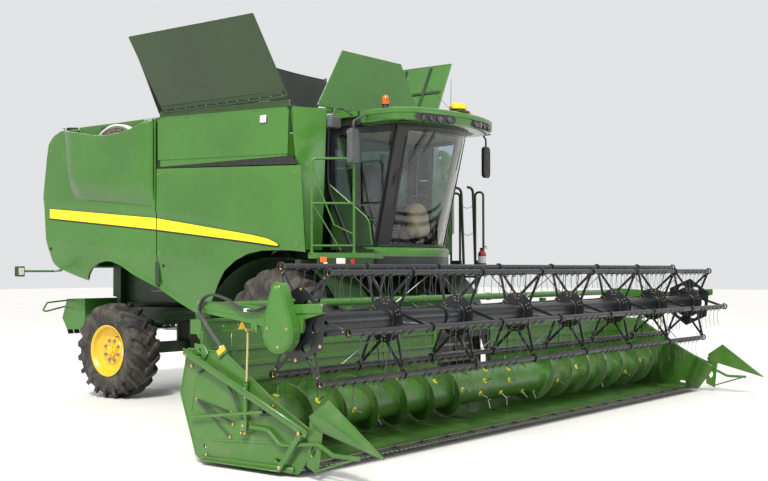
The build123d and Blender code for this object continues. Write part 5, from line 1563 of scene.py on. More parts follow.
def header_sides():
    K = Kit("green_header")
    K.side(SHEET, -4.530, -4.500, 0.004, holes=[oval(-1.492, 0.165, 0.024, 0.024), oval(-2.467, 0.129, 0.018, 0.016, 0.1, 18, 0.03)])
    loop = [np.array((-4.527, y, z)) for y, z in SHEET]
    K.tube([p for p in fillet(loop + [loop[0]], 0.05)], 0.011, 8)
    # pressed beads and the folded flange of the sheet
    for p, q in (((-1.42, 0.93), (-2.62, 0.44)), ((-2.62, 0.30), (-1.60, 0.24)), ((-1.35, 0.82), (-1.30, 0.50))):
        K.beam((-4.531, *p), (-4.531, *q), 0.030, 0.008, (1, 0, 0), 0.003)
    K.beam((-4.544, -2.66, 0.066), (-4.544, -1.45, 0.058), 0.030, 0.050, (0, 0, 1), 0.008)
    # stood-off rail, its leg and spacers
    K.beam((-4.599, -1.262, 1.074), (-4.599, -2.86, 0.405), 0.014, 0.066, (0, 0, 1), 0.005)
    K.beam((-4.604, -1.262, 1.100), (-4.604, -2.86, 0.431), 0.020, 0.010, (0, 0, 1), 0.003)
    K.beam((-4.599, -2.80, 0.428), (-4.599, -2.51, 0.055), 0.014, 0.056, (0, 0, 1), 0.005)
    K.beam((-4.575, -2.52, 0.050), (-4.575, -1.50, 0.048), 0.060, 0.014, (0, 0, 1), 0.005)
    K.beam((-4.575, -1.335, 0.44), (-4.575, -2.30, 0.56), 0.016, 0.03, (0, 0, 1), 0.004)
    for y, z in ((-1.30, 1.03), (-2.77, 0.412), (-2.535, 0.085)):
        K.lathe((-4.530, y, z), (-1, 0, 0), [(0, 0.030), (0.010, 0.030), (0.014, 0.020), (0.064, 0.020)], 20)
        K.use("zinc_gold")
        K.bolt((-4.606, y, z), (-1, 0, 0), 0.012, 0.010)
        K.use("green_header")
    # divider frame: bent tube, shoe with a folded ridge, wing plate behind it
    K.tube([(-4.566, -2.142, 0.411), (-4.566, -2.36, 0.403), (-4.566, -2.52, 0.276), (-4.566, -2.965, 0.331), (-4.566, -3.146, 0.249), (-4.566, -3.433, 0.250)], 0.020, 14, 0.09)
    A, B, C, D = (-3.69, 0.27), (-3.08, 0.715), (-2.86, 0.56), (-2.90, 0.47)
    R1, R2 = (-3.56, 0.325), (-3.02, 0.585)
    P = [(-4.560, *A), (-4.560, *B), (-4.560, *C), (-4.560, *D), (-4.607, *R1), (-4.607, *R2), (-4.5375, *A), (-4.5375, *B), (-4.5375, *C), (-4.5375, *D)]
    K.add(P, [(0, 4, 5, 1), (1, 5, 2), (2, 5, 3), (3, 5, 4, 0), (6, 7, 8, 9), (0, 1, 7, 6), (1, 2, 8, 7), (2, 3, 9, 8), (3, 0, 6, 9)])
    K.tube([(-4.556, *A), (-4.556, *B), (-4.556, *C), (-4.556, *D), (-4.556, *A)], 0.009, 8)
    K.side([(-3.08, 0.715), (-2.86, 0.56), (-2.82, 0.12), (-2.96, 0.06), (-3.00, 0.40)], -4.556, -4.542, 0.004, holes=[oval(-2.90, 0.26, 0.03, 0.05, 0.1)])
    K.beam((-4.560, -3.40, 0.245), (-4.560, -2.93, 0.09), 0.03, 0.02, (0, 0, 1), 0.005)
    # reel cylinder bracket
    K.box(-4.595, -4.529, -2.110, -2.030, 0.334, 0.372, 0.004)
    K.box(-4.537, -4.530, -2.110, -2.030, 0.36, 0.47, 0.002)
    K.box(-4.595, -4.587, -2.110, -2.030, 0.36, 0.47, 0.002)
    K.use("zinc_gold")
    K.rod((-4.600, *(-2.07, 0.420)), (-4.530, *(-2.07, 0.420)), 0.012, 14)
    for y in (-2.095, -2.045):
        K.bolt((-4.596, y, 0.353), (-1, 0, 0), 0.008, 0.007)
    # fan of thin rods with its bolts
    K.use("tine_steel")
    for q in ((-1.86, 0.52), (-1.88, 0.41), (-1.84, 0.29)):
        K.rod((-4.545, -1.39, 0.61), (-4.545, *q), 0.006, 8)
    K.use("zinc_gold")
    for q in ((-1.39, 0.61), (-1.86, 0.52), (-1.88, 0.41), (-1.84, 0.29), (-1.31, 0.93), (-1.42, 1.02), (-2.40, 0.62), (-2.86, 0.50), (-2.90, 0.16), (-1.52, 0.09), (-2.30, 0.075), (-1.90, 0.075)):
        K.bolt((-4.540, *q), (-1, 0, 0), 0.011, 0.009)
    K.use("green_paint")
    # bracket with a hole and a slot, hook plate of the reel lock
    K.side([(-1.36, 1.00), (-1.36, 1.15), (-1.50, 1.14), (-1.55, 1.06), (-1.50, 1.00)], -4.548, -4.540, 0.003,
           holes=[oval(-1.44, 1.09, 0.018, 0.018), oval(-1.43, 1.035, 0.012, 0.010, 0.0, 18, 0.02)])
    K.use("black_paint")
    K.side([(-2.25, 0.52), (-2.37, 0.53), (-2.40, 0.60), (-2.34, 0.62), (-2.33, 0.585), (-2.29, 0.60), (-2.26, 0.64), (-2.22, 0.60)], -4.552, -4.542, 0.003)
    K.use("hose_rubber")
    K.tube(smooth_path([(-4.548, -1.42, 0.87), (-4.556, -1.55, 0.93), (-4.560, -1.72, 0.90), (-4.556, -1.86, 0.74), (-4.550, -1.97, 0.56), (-4.545, -2.0, 0.50)], 8), 0.011, 10)
    K.use("yellow_paint")
    q = rad(-35)
    K.obox((-4.553, -1.734, 1.097), (0.004, 0, 0), (0, 0.055 * cos(q), 0.055 * sin(q)), (0, -0.028 * sin(q), 0.028 * cos(q)), 0.002)
    K.use("green_paint")
    K.obox((-4.545, -1.730, 1.085), (0.004, 0, 0), (0, 0.07 * cos(q), 0.07 * sin(q)), (0, -0.04 * sin(q), 0.04 * cos(q)), 0.002)
    # inner ribs of the end sheet
    K.use("green_header")
    for y in (-1.62, -1.86, -2.10, -2.34):
        K.beam((-4.494, y, 0.13), (-4.494, y, 0.92 if y > -2 else 0.60), 0.05, 0.012, (1, 0, 0), 0.004)
    K.mirror_x()
    K.build("header_end_details", "header", ("header_ends",), "green_paint")


def knife():
    K = Kit("steel")
    K.box(-4.495, 4.495, -2.690, -2.603, 0.052, 0.072, 0.003)
    for k in range(117):
        x = -4.42 + 0.0762 * k
        K.use("tine_steel")
        K.tube([(x, -2.640, 0.064), (x, -2.695, 0.066), (x, -2.735, 0.060), (x, -2.768, 0.052)], 0.012, 6, rad_fn=lambda t: 1.0 - 0.78 * t)
        K.use("steel")
        a, b = x + 0.0381, 0.036
        K.add([(a - b, -2.665, 0.0725), (a + b, -2.665, 0.0725), (a + 0.008, -2.742, 0.0705), (a - 0.008, -2.742, 0.0705),
               (a - b, -2.665, 0.0690), (a + b, -2.665, 0.0690), (a + 0.008, -2.742, 0.0685), (a - 0.008, -2.742, 0.0685)],
              [(0, 3, 2, 1)[::-1], (4, 7, 6, 5), (0, 1, 5, 4)[::-1], (1, 2, 6, 5)[::-1], (2, 3, 7, 6)[::-1], (3, 0, 4, 7)[::-1]])
        if k % 6 == 0:
            K.use("black_paint")
            K.box(x + 0.01, x + 0.066, -2.66, -2.615, 0.073, 0.088, 0.003)
            K.bolt((x + 0.038, -2.628, 0.088), (0, 0, 1), 0.007, 0.006)
    K.build("knife_and_guards", "header", ("cutterbar",), "steel")


def auger():
    K = Kit("green_header")
    cy, cz = -1.81, 0.43
    K.lathe((-4.44, cy, cz), (1, 0, 0), [(0, 0), (0, 0.198), (0.006, 0.205), (8.874, 0.205), (8.88, 0.198), (8.88, 0)], 72)
    turns = 7.4
    for s in (-1, 1):
        n = int(turns * 44)
        rows = []
        for i in range(n + 1):
            t = i / n
            x = s * (4.425 - 3.78 * t)
            a = 2 * pi * turns * t
            e = min(1.0, (n - i) / 14, (i + 6) / 14)
            ro = 0.206 + 0.104 * e
            ring = []
            for dx, r in ((-0.0035, 0.203), (-0.0030, 0.5 * (0.205 + ro)), (-0.0022, ro), (0.0022, ro), (0.0030, 0.5 * (0.205 + ro)), (0.0035, 0.203)):
                ring.append((x + dx, cy + r * cos(a), cz + r * sin(a)))
            rows.append(ring)
        K.grid(rows, flip=s < 0)
        K.use("worn_steel")
        K.tube([(s * (4.425 - 3.78 * i / n), cy + 0.3075 * cos(2 * pi * turns * i / n), cz + 0.3075 * sin(2 * pi * turns * i / n)) for i in range(8, n - 13)], 0.0032, 5)
        K.use("green_header")
    # retracting fingers and their guides, close in the middle and one a pitch further out
    spots = [-0.52, -0.39, -0.26, -0.13, 0.0, 0.13, 0.26, 0.39, 0.52] + [s * (0.90 + 0.511 * k) for s in (-1, 1) for k in range(7)]
    for k, x in enumerate(spots):
        for j in range(2):
            a = 2.4 * k + pi * j + 0.4
            d = np.array((0, cos(a), sin(a)))
            c = np.array((x + 0.03 * j, cy, cz))
            K.use("finger_yellow")
            K.lathe(c + d * 0.200, d, [(0, 0.034), (0.010, 0.034), (0.016, 0.026), (0.018, 0.014), (0.010, 0.012)], 16)
            K.use("steel")
            K.rod(c + d * 0.19, c + d * (0.306 if abs(x) > 0.6 else 0.318), 0.0085, 10)
    K.use("green_header")
    for x in (-2.95, -0.64, 0.64, 2.95):
        K.lathe((x - 0.02, cy, cz), (1, 0, 0), [(0, 0.204), (0.004, 0.211), (0.036, 0.211), (0.04, 0.204)], 56)
    K.use("zinc_gold")
    for s in (-1, 1):
        for k in range(6):
            a = 2 * pi * k / 6
            K.bolt((s * 4.4405, cy + 0.15 * cos(a), cz + 0.15 * sin(a)), (s, 0, 0), 0.010, 0.006)
    K.build("table_auger_flighting", "table_auger", ("header_auger",), "green_paint", 45)


def feeder():
    # the feeder house and its ribs in dark green: painted shade under the cab
    look("feeder_house", "dark_green_paint")
    K = Kit("dark_green_paint")
    a, b = np.array((0, 0.12, 1.870)), np.array((0, -1.29, 1.130))
    d = (b - a) / np.linalg.norm(b - a)
    up = np.array((0, -d[2], d[1])) * (1 if d[1] > 0 else -1)
    for x in (-0.50, -0.17, 0.17, 0.50):                         # ribs and covers of the top
        K.beam(a + (x, 0, 0) + up * 0.006 + d * 0.03, b + (x, 0, 0) + up * 0.006 - d * 0.03, 0.06, 0.02, up, 0.006)
    for t in (0.12, 0.5, 0.88):
        c = a + (b - a) * t + up * 0.010
        K.beam(c - (0.57, 0, 0), c + (0.57, 0, 0), 0.05, 0.024, up, 0.006)
    for s in (-1, 1):
        K.beam((s * 0.594, 0.30, 1.60), (s * 0.594, -1.24, 0.76), 0.012, 0.10, (0, 0, 1), 0.005)
        K.beam((s * 0.594, 0.04, 1.38), (s * 0.594, -0.90, 0.46), 0.012, 0.05, (0, 0, 1), 0.005)
        K.beam((s * 0.594, -1.27, 0.40), (s * 0.594, -1.27, 1.10), 0.07, 0.012, (1, 0, 0), 0.005)
        K.lathe((s * 0.590, *(0.35, 1.76)), (s, 0, 0), [(0, 0.09), (0.012, 0.09), (0.018, 0.08), (0.022, 0.05), (0.03, 0.045), (0.03, 0)], 36)
        K.use("steel")
        for k in range(6):
            q = 2 * pi * k / 6
            K.bolt((s * 0.608, 0.35 + 0.07 * cos(q), 1.76 + 0.07 * sin(q)), (s, 0, 0), 0.008, 0.006)
        for k in range(7):
            t = (k + 0.5) / 7
            K.bolt((s * 0.600, 0.30 - 1.54 * t, 1.60 - 0.84 * t), (s, 0, 0), 0.008, 0.006)
        K.use("dark_green_paint")
    K.build("feeder_house_ribs", "header", (), "dark_green_paint")


# ------------------------------------------------------------------ reel
RC, PH = (-2.6, 1.36), rad(-5.6)
SPIDERS = [-4.395 + k * 8.79 / 7 for k in range(8)]


def ring(k, r):
    a = PH + pi * k / 3
    return RC[0] - r * cos(a), RC[1] + r * sin(a)


def reel():
    K = Kit("black_paint")
    K.lathe((-4.43, *RC), (1, 0, 0), [(0, 0), (0, 0.095), (0.006, 0.100), (8.854, 0.100), (8.86, 0.095), (8.86, 0)], 48)
    for x in (-2.2, 2.2):
        K.lathe((x - 0.02, *RC), (1, 0, 0), [(0, 0.099), (0.002, 0.125), (0.038, 0.125), (0.04, 0.099)], 40)
    for i, x in enumerate(SPIDERS):
        # hub: two half plates bolted round the tube, domed outer rim
        K.use("black_paint")
        K.lathe((x - 0.007, *RC), (1, 0, 0), [(0, 0.1005), (0, 0.218), (0.003, 0.226), (0.011, 0.226), (0.014, 0.218), (0.014, 0.1005)], 48)
        K.lathe((x - 0.022, *RC), (1, 0, 0), [(0, 0.1005), (0, 0.118), (0.004, 0.124), (0.016, 0.124)], 40)
        K.lathe((x + 0.022, *RC), (-1, 0, 0), [(0, 0.1005), (0, 0.118), (0.004, 0.124), (0.016, 0.124)], 40)
        for k in range(6):
            a = PH + pi * k / 3
            yb, zb = ring(k, 0.556)
            for side in (-1, 1):
                h = a + side * rad(27)
                K.beam((x + 0.004, RC[0] - 0.185 * cos(h), RC[1] + 0.185 * sin(h)), (x + 0.004, yb, zb), 0.007, 0.034, (0, -sin(a), -cos(a)), 0.002)
            # bearing plate at the bat
            K.lathe((x - 0.010, *ring(k, 0.58)), (1, 0, 0), [(0, 0.0305), (0, 0.046), (0.020, 0.046), (0.020, 0.0305)], 20)
            K.beam((x, *ring(k, 0.500)), (x, *ring(k, 0.545)), 0.012, 0.05, (0, -sin(a), -cos(a)), 0.003)
            K.use("zinc_gold")
            for side in (-1, 1):
                h = a + side * rad(23)
                for r in (0.165, 0.200):
                    for e in (-1, 1):
                        K.bolt((x + e * 0.0075, RC[0] - r * cos(h), RC[1] + r * sin(h)), (e, 0, 0), 0.0085, 0.007, False)
            for e in (-1, 1):
                K.bolt((x + e * 0.006, *ring(k, 0.520)), (e, 0, 0), 0.0085, 0.007, False)
            K.use("black_paint")
            # thin braces from this hub out to the bats half a bay away
            if i in (1, 3, 4, 6):
                K.use("tine_steel")
                for e in (-1, 1):
                    K.rod((x + e * 0.012, *ring(k, 0.21)), (x + e * 0.30, *ring(k, 0.540)), 0.0055, 6)
                K.use("black_paint")
    # end plates: hexagons with rounded windows, near the arms
    for s in (-1, 1):
        x = s * 4.420
        hexa = [(RC[0] - 0.36 * cos(PH + pi * (k + 0.5) / 3), RC[1] + 0.36 * sin(PH + pi * (k + 0.5) / 3)) for k in range(6)]
        wins = []
        for k in range(6):
            a = PH + pi * k / 3
            wins.append(oval(RC[0] - 0.215 * cos(a), RC[1] + 0.215 * sin(a), 0.050, 0.062, -a, 18))
        K.side(hexa, x - 0.003, x + 0.003, 0.0012, holes=wins)
        K.use("zinc_gold")
        for k in range(6):
            a = PH + pi * (k + 0.5) / 3
            K.bolt((x + s * 0.003, RC[0] - 0.325 * cos(a), RC[1] + 0.325 * sin(a)), (s, 0, 0), 0.011, 0.008)
        K.use("black_paint")
    K.build("reel_spider_set", "reel_rotor", ("reel_tube", "reel_spiders"), "black_paint", 40)


def bats():
    for k in range(6):
        y, z = ring(k, 0.58)
        K = Kit("black_paint")
        K.rod((-4.36, y, z), (4.36, y, z), 0.030, 18)
        for s in (-1, 1):
            K.lathe((s * 4.357, y, z), (s, 0, 0), [(0, 0.030), (0.002, 0.026), (0.003, 0.0)], 18)
        for j in range(57):
            x = -4.20 + 0.15 * j
            i = min(range(8), key=lambda q: abs(x - SPIDERS[q]))
            dx = x - SPIDERS[i]
            if abs(dx) < 0.062:
                x = SPIDERS[i] + (0.062 if dx > 0 else -0.062)
            elif i in (1, 3, 4, 6) and abs(dx) < 0.285:
                continue                                          # the hub's braces pass here
            elif i in (1, 3, 4, 6) and abs(dx) < 0.342:
                x = SPIDERS[i] + (0.342 if dx > 0 else -0.342)
            K.use("black_plastic")
            K.beam((x - 0.028, y + 0.002, z - 0.010), (x + 0.028, y + 0.002, z - 0.010), 0.070, 0.050, (0, 0, 1), 0.006)
            K.use("tine_steel")
            coil = [(x - 0.012 + 0.024 * q / 16, y + 0.016 + 0.013 * cos(2 * pi * 2 * q / 16), z - 0.040 + 0.013 * sin(2 * pi * 2 * q / 16)) for q in range(17)]
            K.tube(coil + [(x + 0.012, y + 0.030, z - 0.075), (x + 0.010, y + 0.040, z - 0.17), (x + 0.008, y + 0.022, z - 0.285)], 0.0036, 4)
        K.use("zinc_gold")
        for sx in SPIDERS:
            K.lathe((sx + 0.012, y, z), (1, 0, 0), [(0, 0.0302), (0, 0.036), (0.012, 0.036), (0.012, 0.0302)], 14)
        K.build(f"reel_bat_and_tines_{k + 1}", f"bat_{k + 1}", (f"reel_bat_{k + 1}",), "black_paint", 40)


def arms():
    K = Kit("green_paint")
    poly = [(-1.42, 1.44), (-1.30, 1.44), (-1.30, 1.56), (-1.42, 1.56), (-2.50, 1.50), (-2.96, 1.56), (-2.96, 1.47), (-2.72, 1.41),
            (-2.70, 1.29), (-2.48, 1.29), (-2.14, 1.345), (-2.14, 1.275), (-2.06, 1.275), (-2.06, 1.355)]
    K.side(poly, -4.488, -4.447, 0.005)
    K.side([(-1.45, 1.50), (-2.50, 1.455), (-2.50, 1.43), (-2.10, 1.41), (-1.46, 1.475)], -4.492, -4.486, 0.002)
    # box-section front end with its cap, reel bearing block, hook for the prop
    K.beam((-4.470, -2.52, 1.497), (-4.470, -2.955, 1.517), 0.060, 0.085, (0, 0, 1), 0.006)
    K.use("black_plastic")
    K.beam((-4.470, -2.950, 1.517), (-4.470, -2.962, 1.5175), 0.050, 0.074, (0, 0, 1), 0.004)
    K.use("dark_green_paint")
    K.box(-4.500, -4.440, -2.66, -2.54, 1.300, 1.420, 0.010)
    K.use("zinc_gold")
    for y in (-2.645, -2.555):
        for z in (1.32, 1.40):
            K.bolt((-4.500, y, z), (-1, 0, 0), 0.010, 0.008)
    K.rod((-4.470, -2.100, 1.302), (-4.535, -2.100, 1.302), 0.011, 16)
    for y, z in ((-1.36, 1.46), (-1.36, 1.54), (-1.44, 1.50)):
        K.bolt((-4.489, y, z), (-1, 0, 0), 0.010, 0.008)
    K.use("green_paint")
    K.lathe((-4.446, -1.33, 1.50), (1, 0, 0), [(0, 0.042), (0.0, 0.062), (0.03, 0.062), (0.036, 0.042)], 28)
    K.mirror_x()
    K.rod((-4.45, -1.33, 1.50), (4.45, -1.33, 1.50), 0.042, 28)
    for x in (-2.9, -0.75, 0.75, 2.9):                          # clamps on the cross tube
        K.lathe((x - 0.03, -1.33, 1.50), (1, 0, 0), [(0, 0.0415), (0.003, 0.050), (0.057, 0.050), (0.06, 0.0415)], 28)
    # left-hand end cover
    K.use("black_paint")
    K.lathe((4.489, *RC), (1, 0, 0), [(0, 0.0), (0, 0.10), (0.018, 0.10), (0.026, 0.085), (0.030, 0.0)], 36)
    # drive shield: drop-shaped shell, rolled edge, recessed face
    K.use("green_paint")
    drop = [(-2.33, 1.33), (-2.345, 1.40)] + [(-2.345 - 0.095 * t, 1.40 + 0.30 * t) for t in (0.33, 0.66)] + \
           arc3((-2.440, 1.700), (-2.500, 1.745), (-2.560, 1.700), 10) + [(-2.60, 1.59), (-2.645, 1.46), (-2.675, 1.39)] + \
           arc3((-2.690, 1.330), (-2.520, 1.110), (-2.332, 1.315), 26)
    drop = ccw(drop)
    for d, x0, x1 in ((0.0, -4.600, -4.492), (0.012, -4.606, -4.598), (0.030, -4.6095, -4.604)):
        p = inset_loops([drop], d)[0] if d else drop
        K.side(p, x0, x1, 0.004 if d == 0 else 0.002)
    K.tube([(-4.598, y, z) for y, z in drop], 0.0075, 8, closed=True)
    K.use("zinc_gold")
    for y, z in ((-2.50, 1.70), (-2.39, 1.33), (-2.63, 1.33), (-2.52, 1.165)):
        K.bolt((-4.610, y, z), (-1, 0, 0), 0.009, 0.006)
    K.use("black_plastic")
    K.box(-4.56, -4.49, -2.60, -2.43, 1.30, 1.44, 0.01)
    K.build("reel_arm_frames", "arms", ("reel_arms",), "green_paint")
    # two hoses, the clip that holds them and their end fittings
    K = Kit("hose_rubber")
    route = [(-2.390, 1.552), (-2.288, 1.524), (-2.193, 1.494), (-2.090, 1.482), (-1.969, 1.503), (-1.86, 1.546), (-1.754, 1.588), (-1.613, 1.619),
             (-1.501, 1.606), (-1.421, 1.539), (-1.413, 1.45), (-1.487, 1.342), (-1.583, 1.245), (-1.661, 1.166), (-1.738, 1.092)]
    for x in (-4.5095, -4.534):
        path = smooth_path([(x, y, z) for y, z in route], 6)
        K.tube(path, 0.0112, 12)
    K.use("steel")
    for x in (-4.5095, -4.534):
        a, b = np.array((x, -2.390, 1.552)), np.array((x, -2.330, 1.535))
        K.rod(a, b, 0.0145, 12)
        a, b = np.array((x, -1.738, 1.092)), np.array((x, -1.700, 1.130))
        K.rod(a, b, 0.0145, 12)
    hoses = K.build("reel_drive_hose_pair", None, ("reel_drive_hoses",), "hose_rubber", 50)
    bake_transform(hoses)
    K = Kit("white_paint")
    K.box(-4.549, -4.4945, -2.064, -2.024, 1.466, 1.500, 0.006)
    K.use("green_paint")
    K.beam((-4.4925, -2.044, 1.466), (-4.4925, -2.044, 1.500), 0.012, 0.040, (0, 1, 0), 0.003)
    K.build("hose_clip", "arms", (), "grey_plastic")


def cylinders():
    A, B = np.array((-2.07, 0.42)), np.array((-2.10, 1.302))
    n = (B - A) / np.linalg.norm(B - A)
    ax = (0, n[0], n[1])
    K, R = Kit("green_paint"), Kit("zinc_gold")
    for s in (-1, 1):
        x = s * 4.562
        o = (x, *A)
        K.use("green_paint")
        K.lathe(o, ax, [(0.0, 0.0), (0.0, 0.0205), (0.006, 0.0218), (0.372, 0.0218), (0.376, 0.0245), (0.404, 0.0245), (0.410, 0.020), (0.410, 0.0142)], 28)
        K.lathe((x - 0.0200, *A), (1, 0, 0), [(0, 0.0), (0, 0.0195), (0.04, 0.0195), (0.04, 0.0)], 24)
        K.use("black_paint")
        K.lathe(o, ax, [(0.392, 0.0246), (0.394, 0.0262), (0.402, 0.0262), (0.404, 0.0246)], 28)
        p = A + n * 0.045
        K.tube([(x, p[0] + 0.018, p[1]), (x, p[0] + 0.040, p[1] + 0.004), (x, p[0] + 0.045, p[1] + 0.03)], 0.007, 8, 0.01)
        K.use("white_paint")
        q = A + n * 0.30
        K.obox((x + s * 0.0222, q[0], q[1]), (0.0008, 0, 0), (0, 0.008, 0), (0, 0, 0.05), 0.0004)
        R.lathe(o, ax, [(0.118, 0.0), (0.118, 0.0108), (0.862, 0.0108)], 22)
        R.lathe((x - 0.0195, *B), (1, 0, 0), [(0, 0.0), (0, 0.0160), (0.002, 0.0168), (0.037, 0.0168), (0.039, 0.0160), (0.039, 0.0)], 26)
        R.bolt((x + s * 0.0195, *B), (s, 0, 0), 0.010, 0.008, False)
    K.build("reel_lift_barrel_pair", "reel_barrels", ("reel_lift_barrels",), "green_paint")
    R.build("reel_lift_rod_pair", "reel_rods", ("reel_lift_rods",), "chrome_rod")
    A, B = np.array((0.24, 0.69)), np.array((-1.07, 0.315))
    n = (B - A) / np.linalg.norm(B - A)
    ax = (0, n[0], n[1])
    K, R = Kit("black_paint"), Kit("chrome_rod")
    for x in (-0.43, 0.43):
        o = (x, *A)
        K.lathe(o, ax, [(-0.052, 0.0), (-0.050, 0.03), (-0.03, 0.050), (0.0, 0.0545), (0.690, 0.0545), (0.694, 0.0585), (0.722, 0.0585), (0.728, 0.050), (0.728, 0.0365)], 32)
        K.lathe((x - 0.057, *A), (1, 0, 0), [(0, 0.0), (0, 0.049), (0.114, 0.049), (0.114, 0.0)], 28)
        K.lathe(o, ax, [(0.10, 0.0546), (0.102, 0.060), (0.128, 0.060), (0.13, 0.0546)], 32)
        p = A + n * 0.66
        K.tube([(x, p[0], p[1] + 0.05), (x, p[0], p[1] + 0.085), (x, p[0] + 0.06, p[1] + 0.10), (x, 0.10, 0.80)], 0.010, 10, 0.03)
        R.lathe(o, ax, [(0.112, 0.0), (0.112, 0.032), (1.318, 0.032)], 28)
        R.lathe((x - 0.028, *B), (1, 0, 0), [(0, 0.0), (0, 0.044), (0.004, 0.048), (0.052, 0.048), (0.056, 0.044), (0.056, 0.0)], 28)
    K.build("feeder_lift_barrels", "cylinder_barrels", ("lift_barrels",), "black_paint")
    R.build("feeder_lift_rods", "cylinder_rods", ("lift_rods",), "chrome_rod")


# ------------------------------------------------------------------ unloading auger, rear, underside
def unloader():
    K = Kit("green_paint")
    c = (1.845, 0.215)
    K.lathe((*c, 3.055), (0, 0, 1), [(0, 0.0), (0, 0.200), (0.004, 0.205), (0.030, 0.205), (0.034, 0.199), (0.38, 0.199), (0.405, 0.205)], 56)
    K.lathe((*c, 3.455), (0, 0, 1), [(0.0, 0.205), (0.05, 0.199), (0.10, 0.180), (0.15, 0.140), (0.185, 0.085), (0.20, 0.0)], 56)
    a, b = np.array((1.845, 0.170, 3.4615)), np.array((1.845, 4.90, 3.560))
    d = (b - a) / np.linalg.norm(b - a)
    L = float(np.linalg.norm(b - a))
    K.lathe(a, d, [(0, 0.0), (0, 0.196), (0.004, 0.198), (L - 0.004, 0.198), (L, 0.196), (L, 0.0)], 56)
    for t in (0.30, 1.75, 3.20, 4.62):                         # joint flanges and bands
        K.lathe(a + d * t, d, [(0, 0.197), (0.001, 0.2045), (0.020, 0.2045), (0.022, 0.1985), (0.030, 0.1985), (0.032, 0.2045), (0.050, 0.2045), (0.051, 0.197)], 56)
    K.use("zinc_gold")
    for t in (1.75, 3.20):
        for k in range(12):
            q = 2 * pi * k / 12
            p = a + d * (t + 0.0) + np.array((0.190 * cos(q), 0, 0.190 * sin(q)))
            K.bolt(p, -d, 0.007, 0.006, False)
    # rubber spout boot with folds
    K.use("hose_rubber")
    p, q = np.array((1.845, 4.86, 3.568)), np.array((1.845, 5.14, 3.338))
    e = (q - p) / np.linalg.norm(q - p)
    up = np.cross((1, 0, 0), e)
    rows = []
    M = float(np.linalg.norm(q - p))
    for i in range(25):
        t = i / 24
        w = 0.205 + 0.006 * cos(t * 8 * pi)
        h = 0.196 + 0.006 * cos(t * 8 * pi)
        row = []
        for k in range(48):
            g = 2 * pi * k / 48
            cu, cv = cos(g), sin(g)
            pw = 0.42
            row.append(p + e * M * t + np.array((1, 0, 0)) * w * math.copysign(abs(cu) ** pw, cu) + up * h * math.copysign(abs(cv) ** pw, cv))
        rows.append(row)
    K.grid(rows, close_u=True)
    K.grid([[p + (v - p) * 0.86 + e * 0.01 for v in rows[0]], rows[0]], close_u=True)
    inner = [[p + e * M * (1 - 0.28 * j) + (v - p - e * M) * (0.96 - 0.05 * j) for v in rows[-1]] for j in range(3)]
    K.grid([rows[-1]] + inner, close_u=True, flip=False)
    K.use("black_paint")
    K.lathe(b - d * 0.02, d, [(0, 0.0), (0.02, 0.19), (0.10, 0.19)], 40)
    K.build("unloading_tube_and_boot", "unloader", ("unloading_auger",), "green_paint", 40)
    K = Kit("green_paint")
    K.lathe((*c, 2.35), (0, 0, 1), [(0, 0.0), (0, 0.15), (0.05, 0.195), (0.06, 0.203), (0.655, 0.203), (0.662, 0.2045), (0.700, 0.2045), (0.700, 0.0)], 56)
    K.box(1.622, 1.80, 0.06, 0.37, 2.45, 2.90, 0.012)
    K.use("steel")
    for k in range(16):
        q = 2 * pi * k / 16
        K.bolt((c[0] + 0.196 * cos(q), c[1] + 0.196 * sin(q), 3.000), (0, 0, -1), 0.007, 0.006, False)
    K.use("black_paint")
    K.rod((1.66, 0.40, 2.60), (1.90, 0.60, 3.02), 0.018, 12)
    K.rod((1.64, 0.38, 2.58), (1.80, 0.50, 2.86), 0.030, 16)
    K.build("unloading_riser_shell", "chassis", ("unloading_riser",), "green_paint", 40)


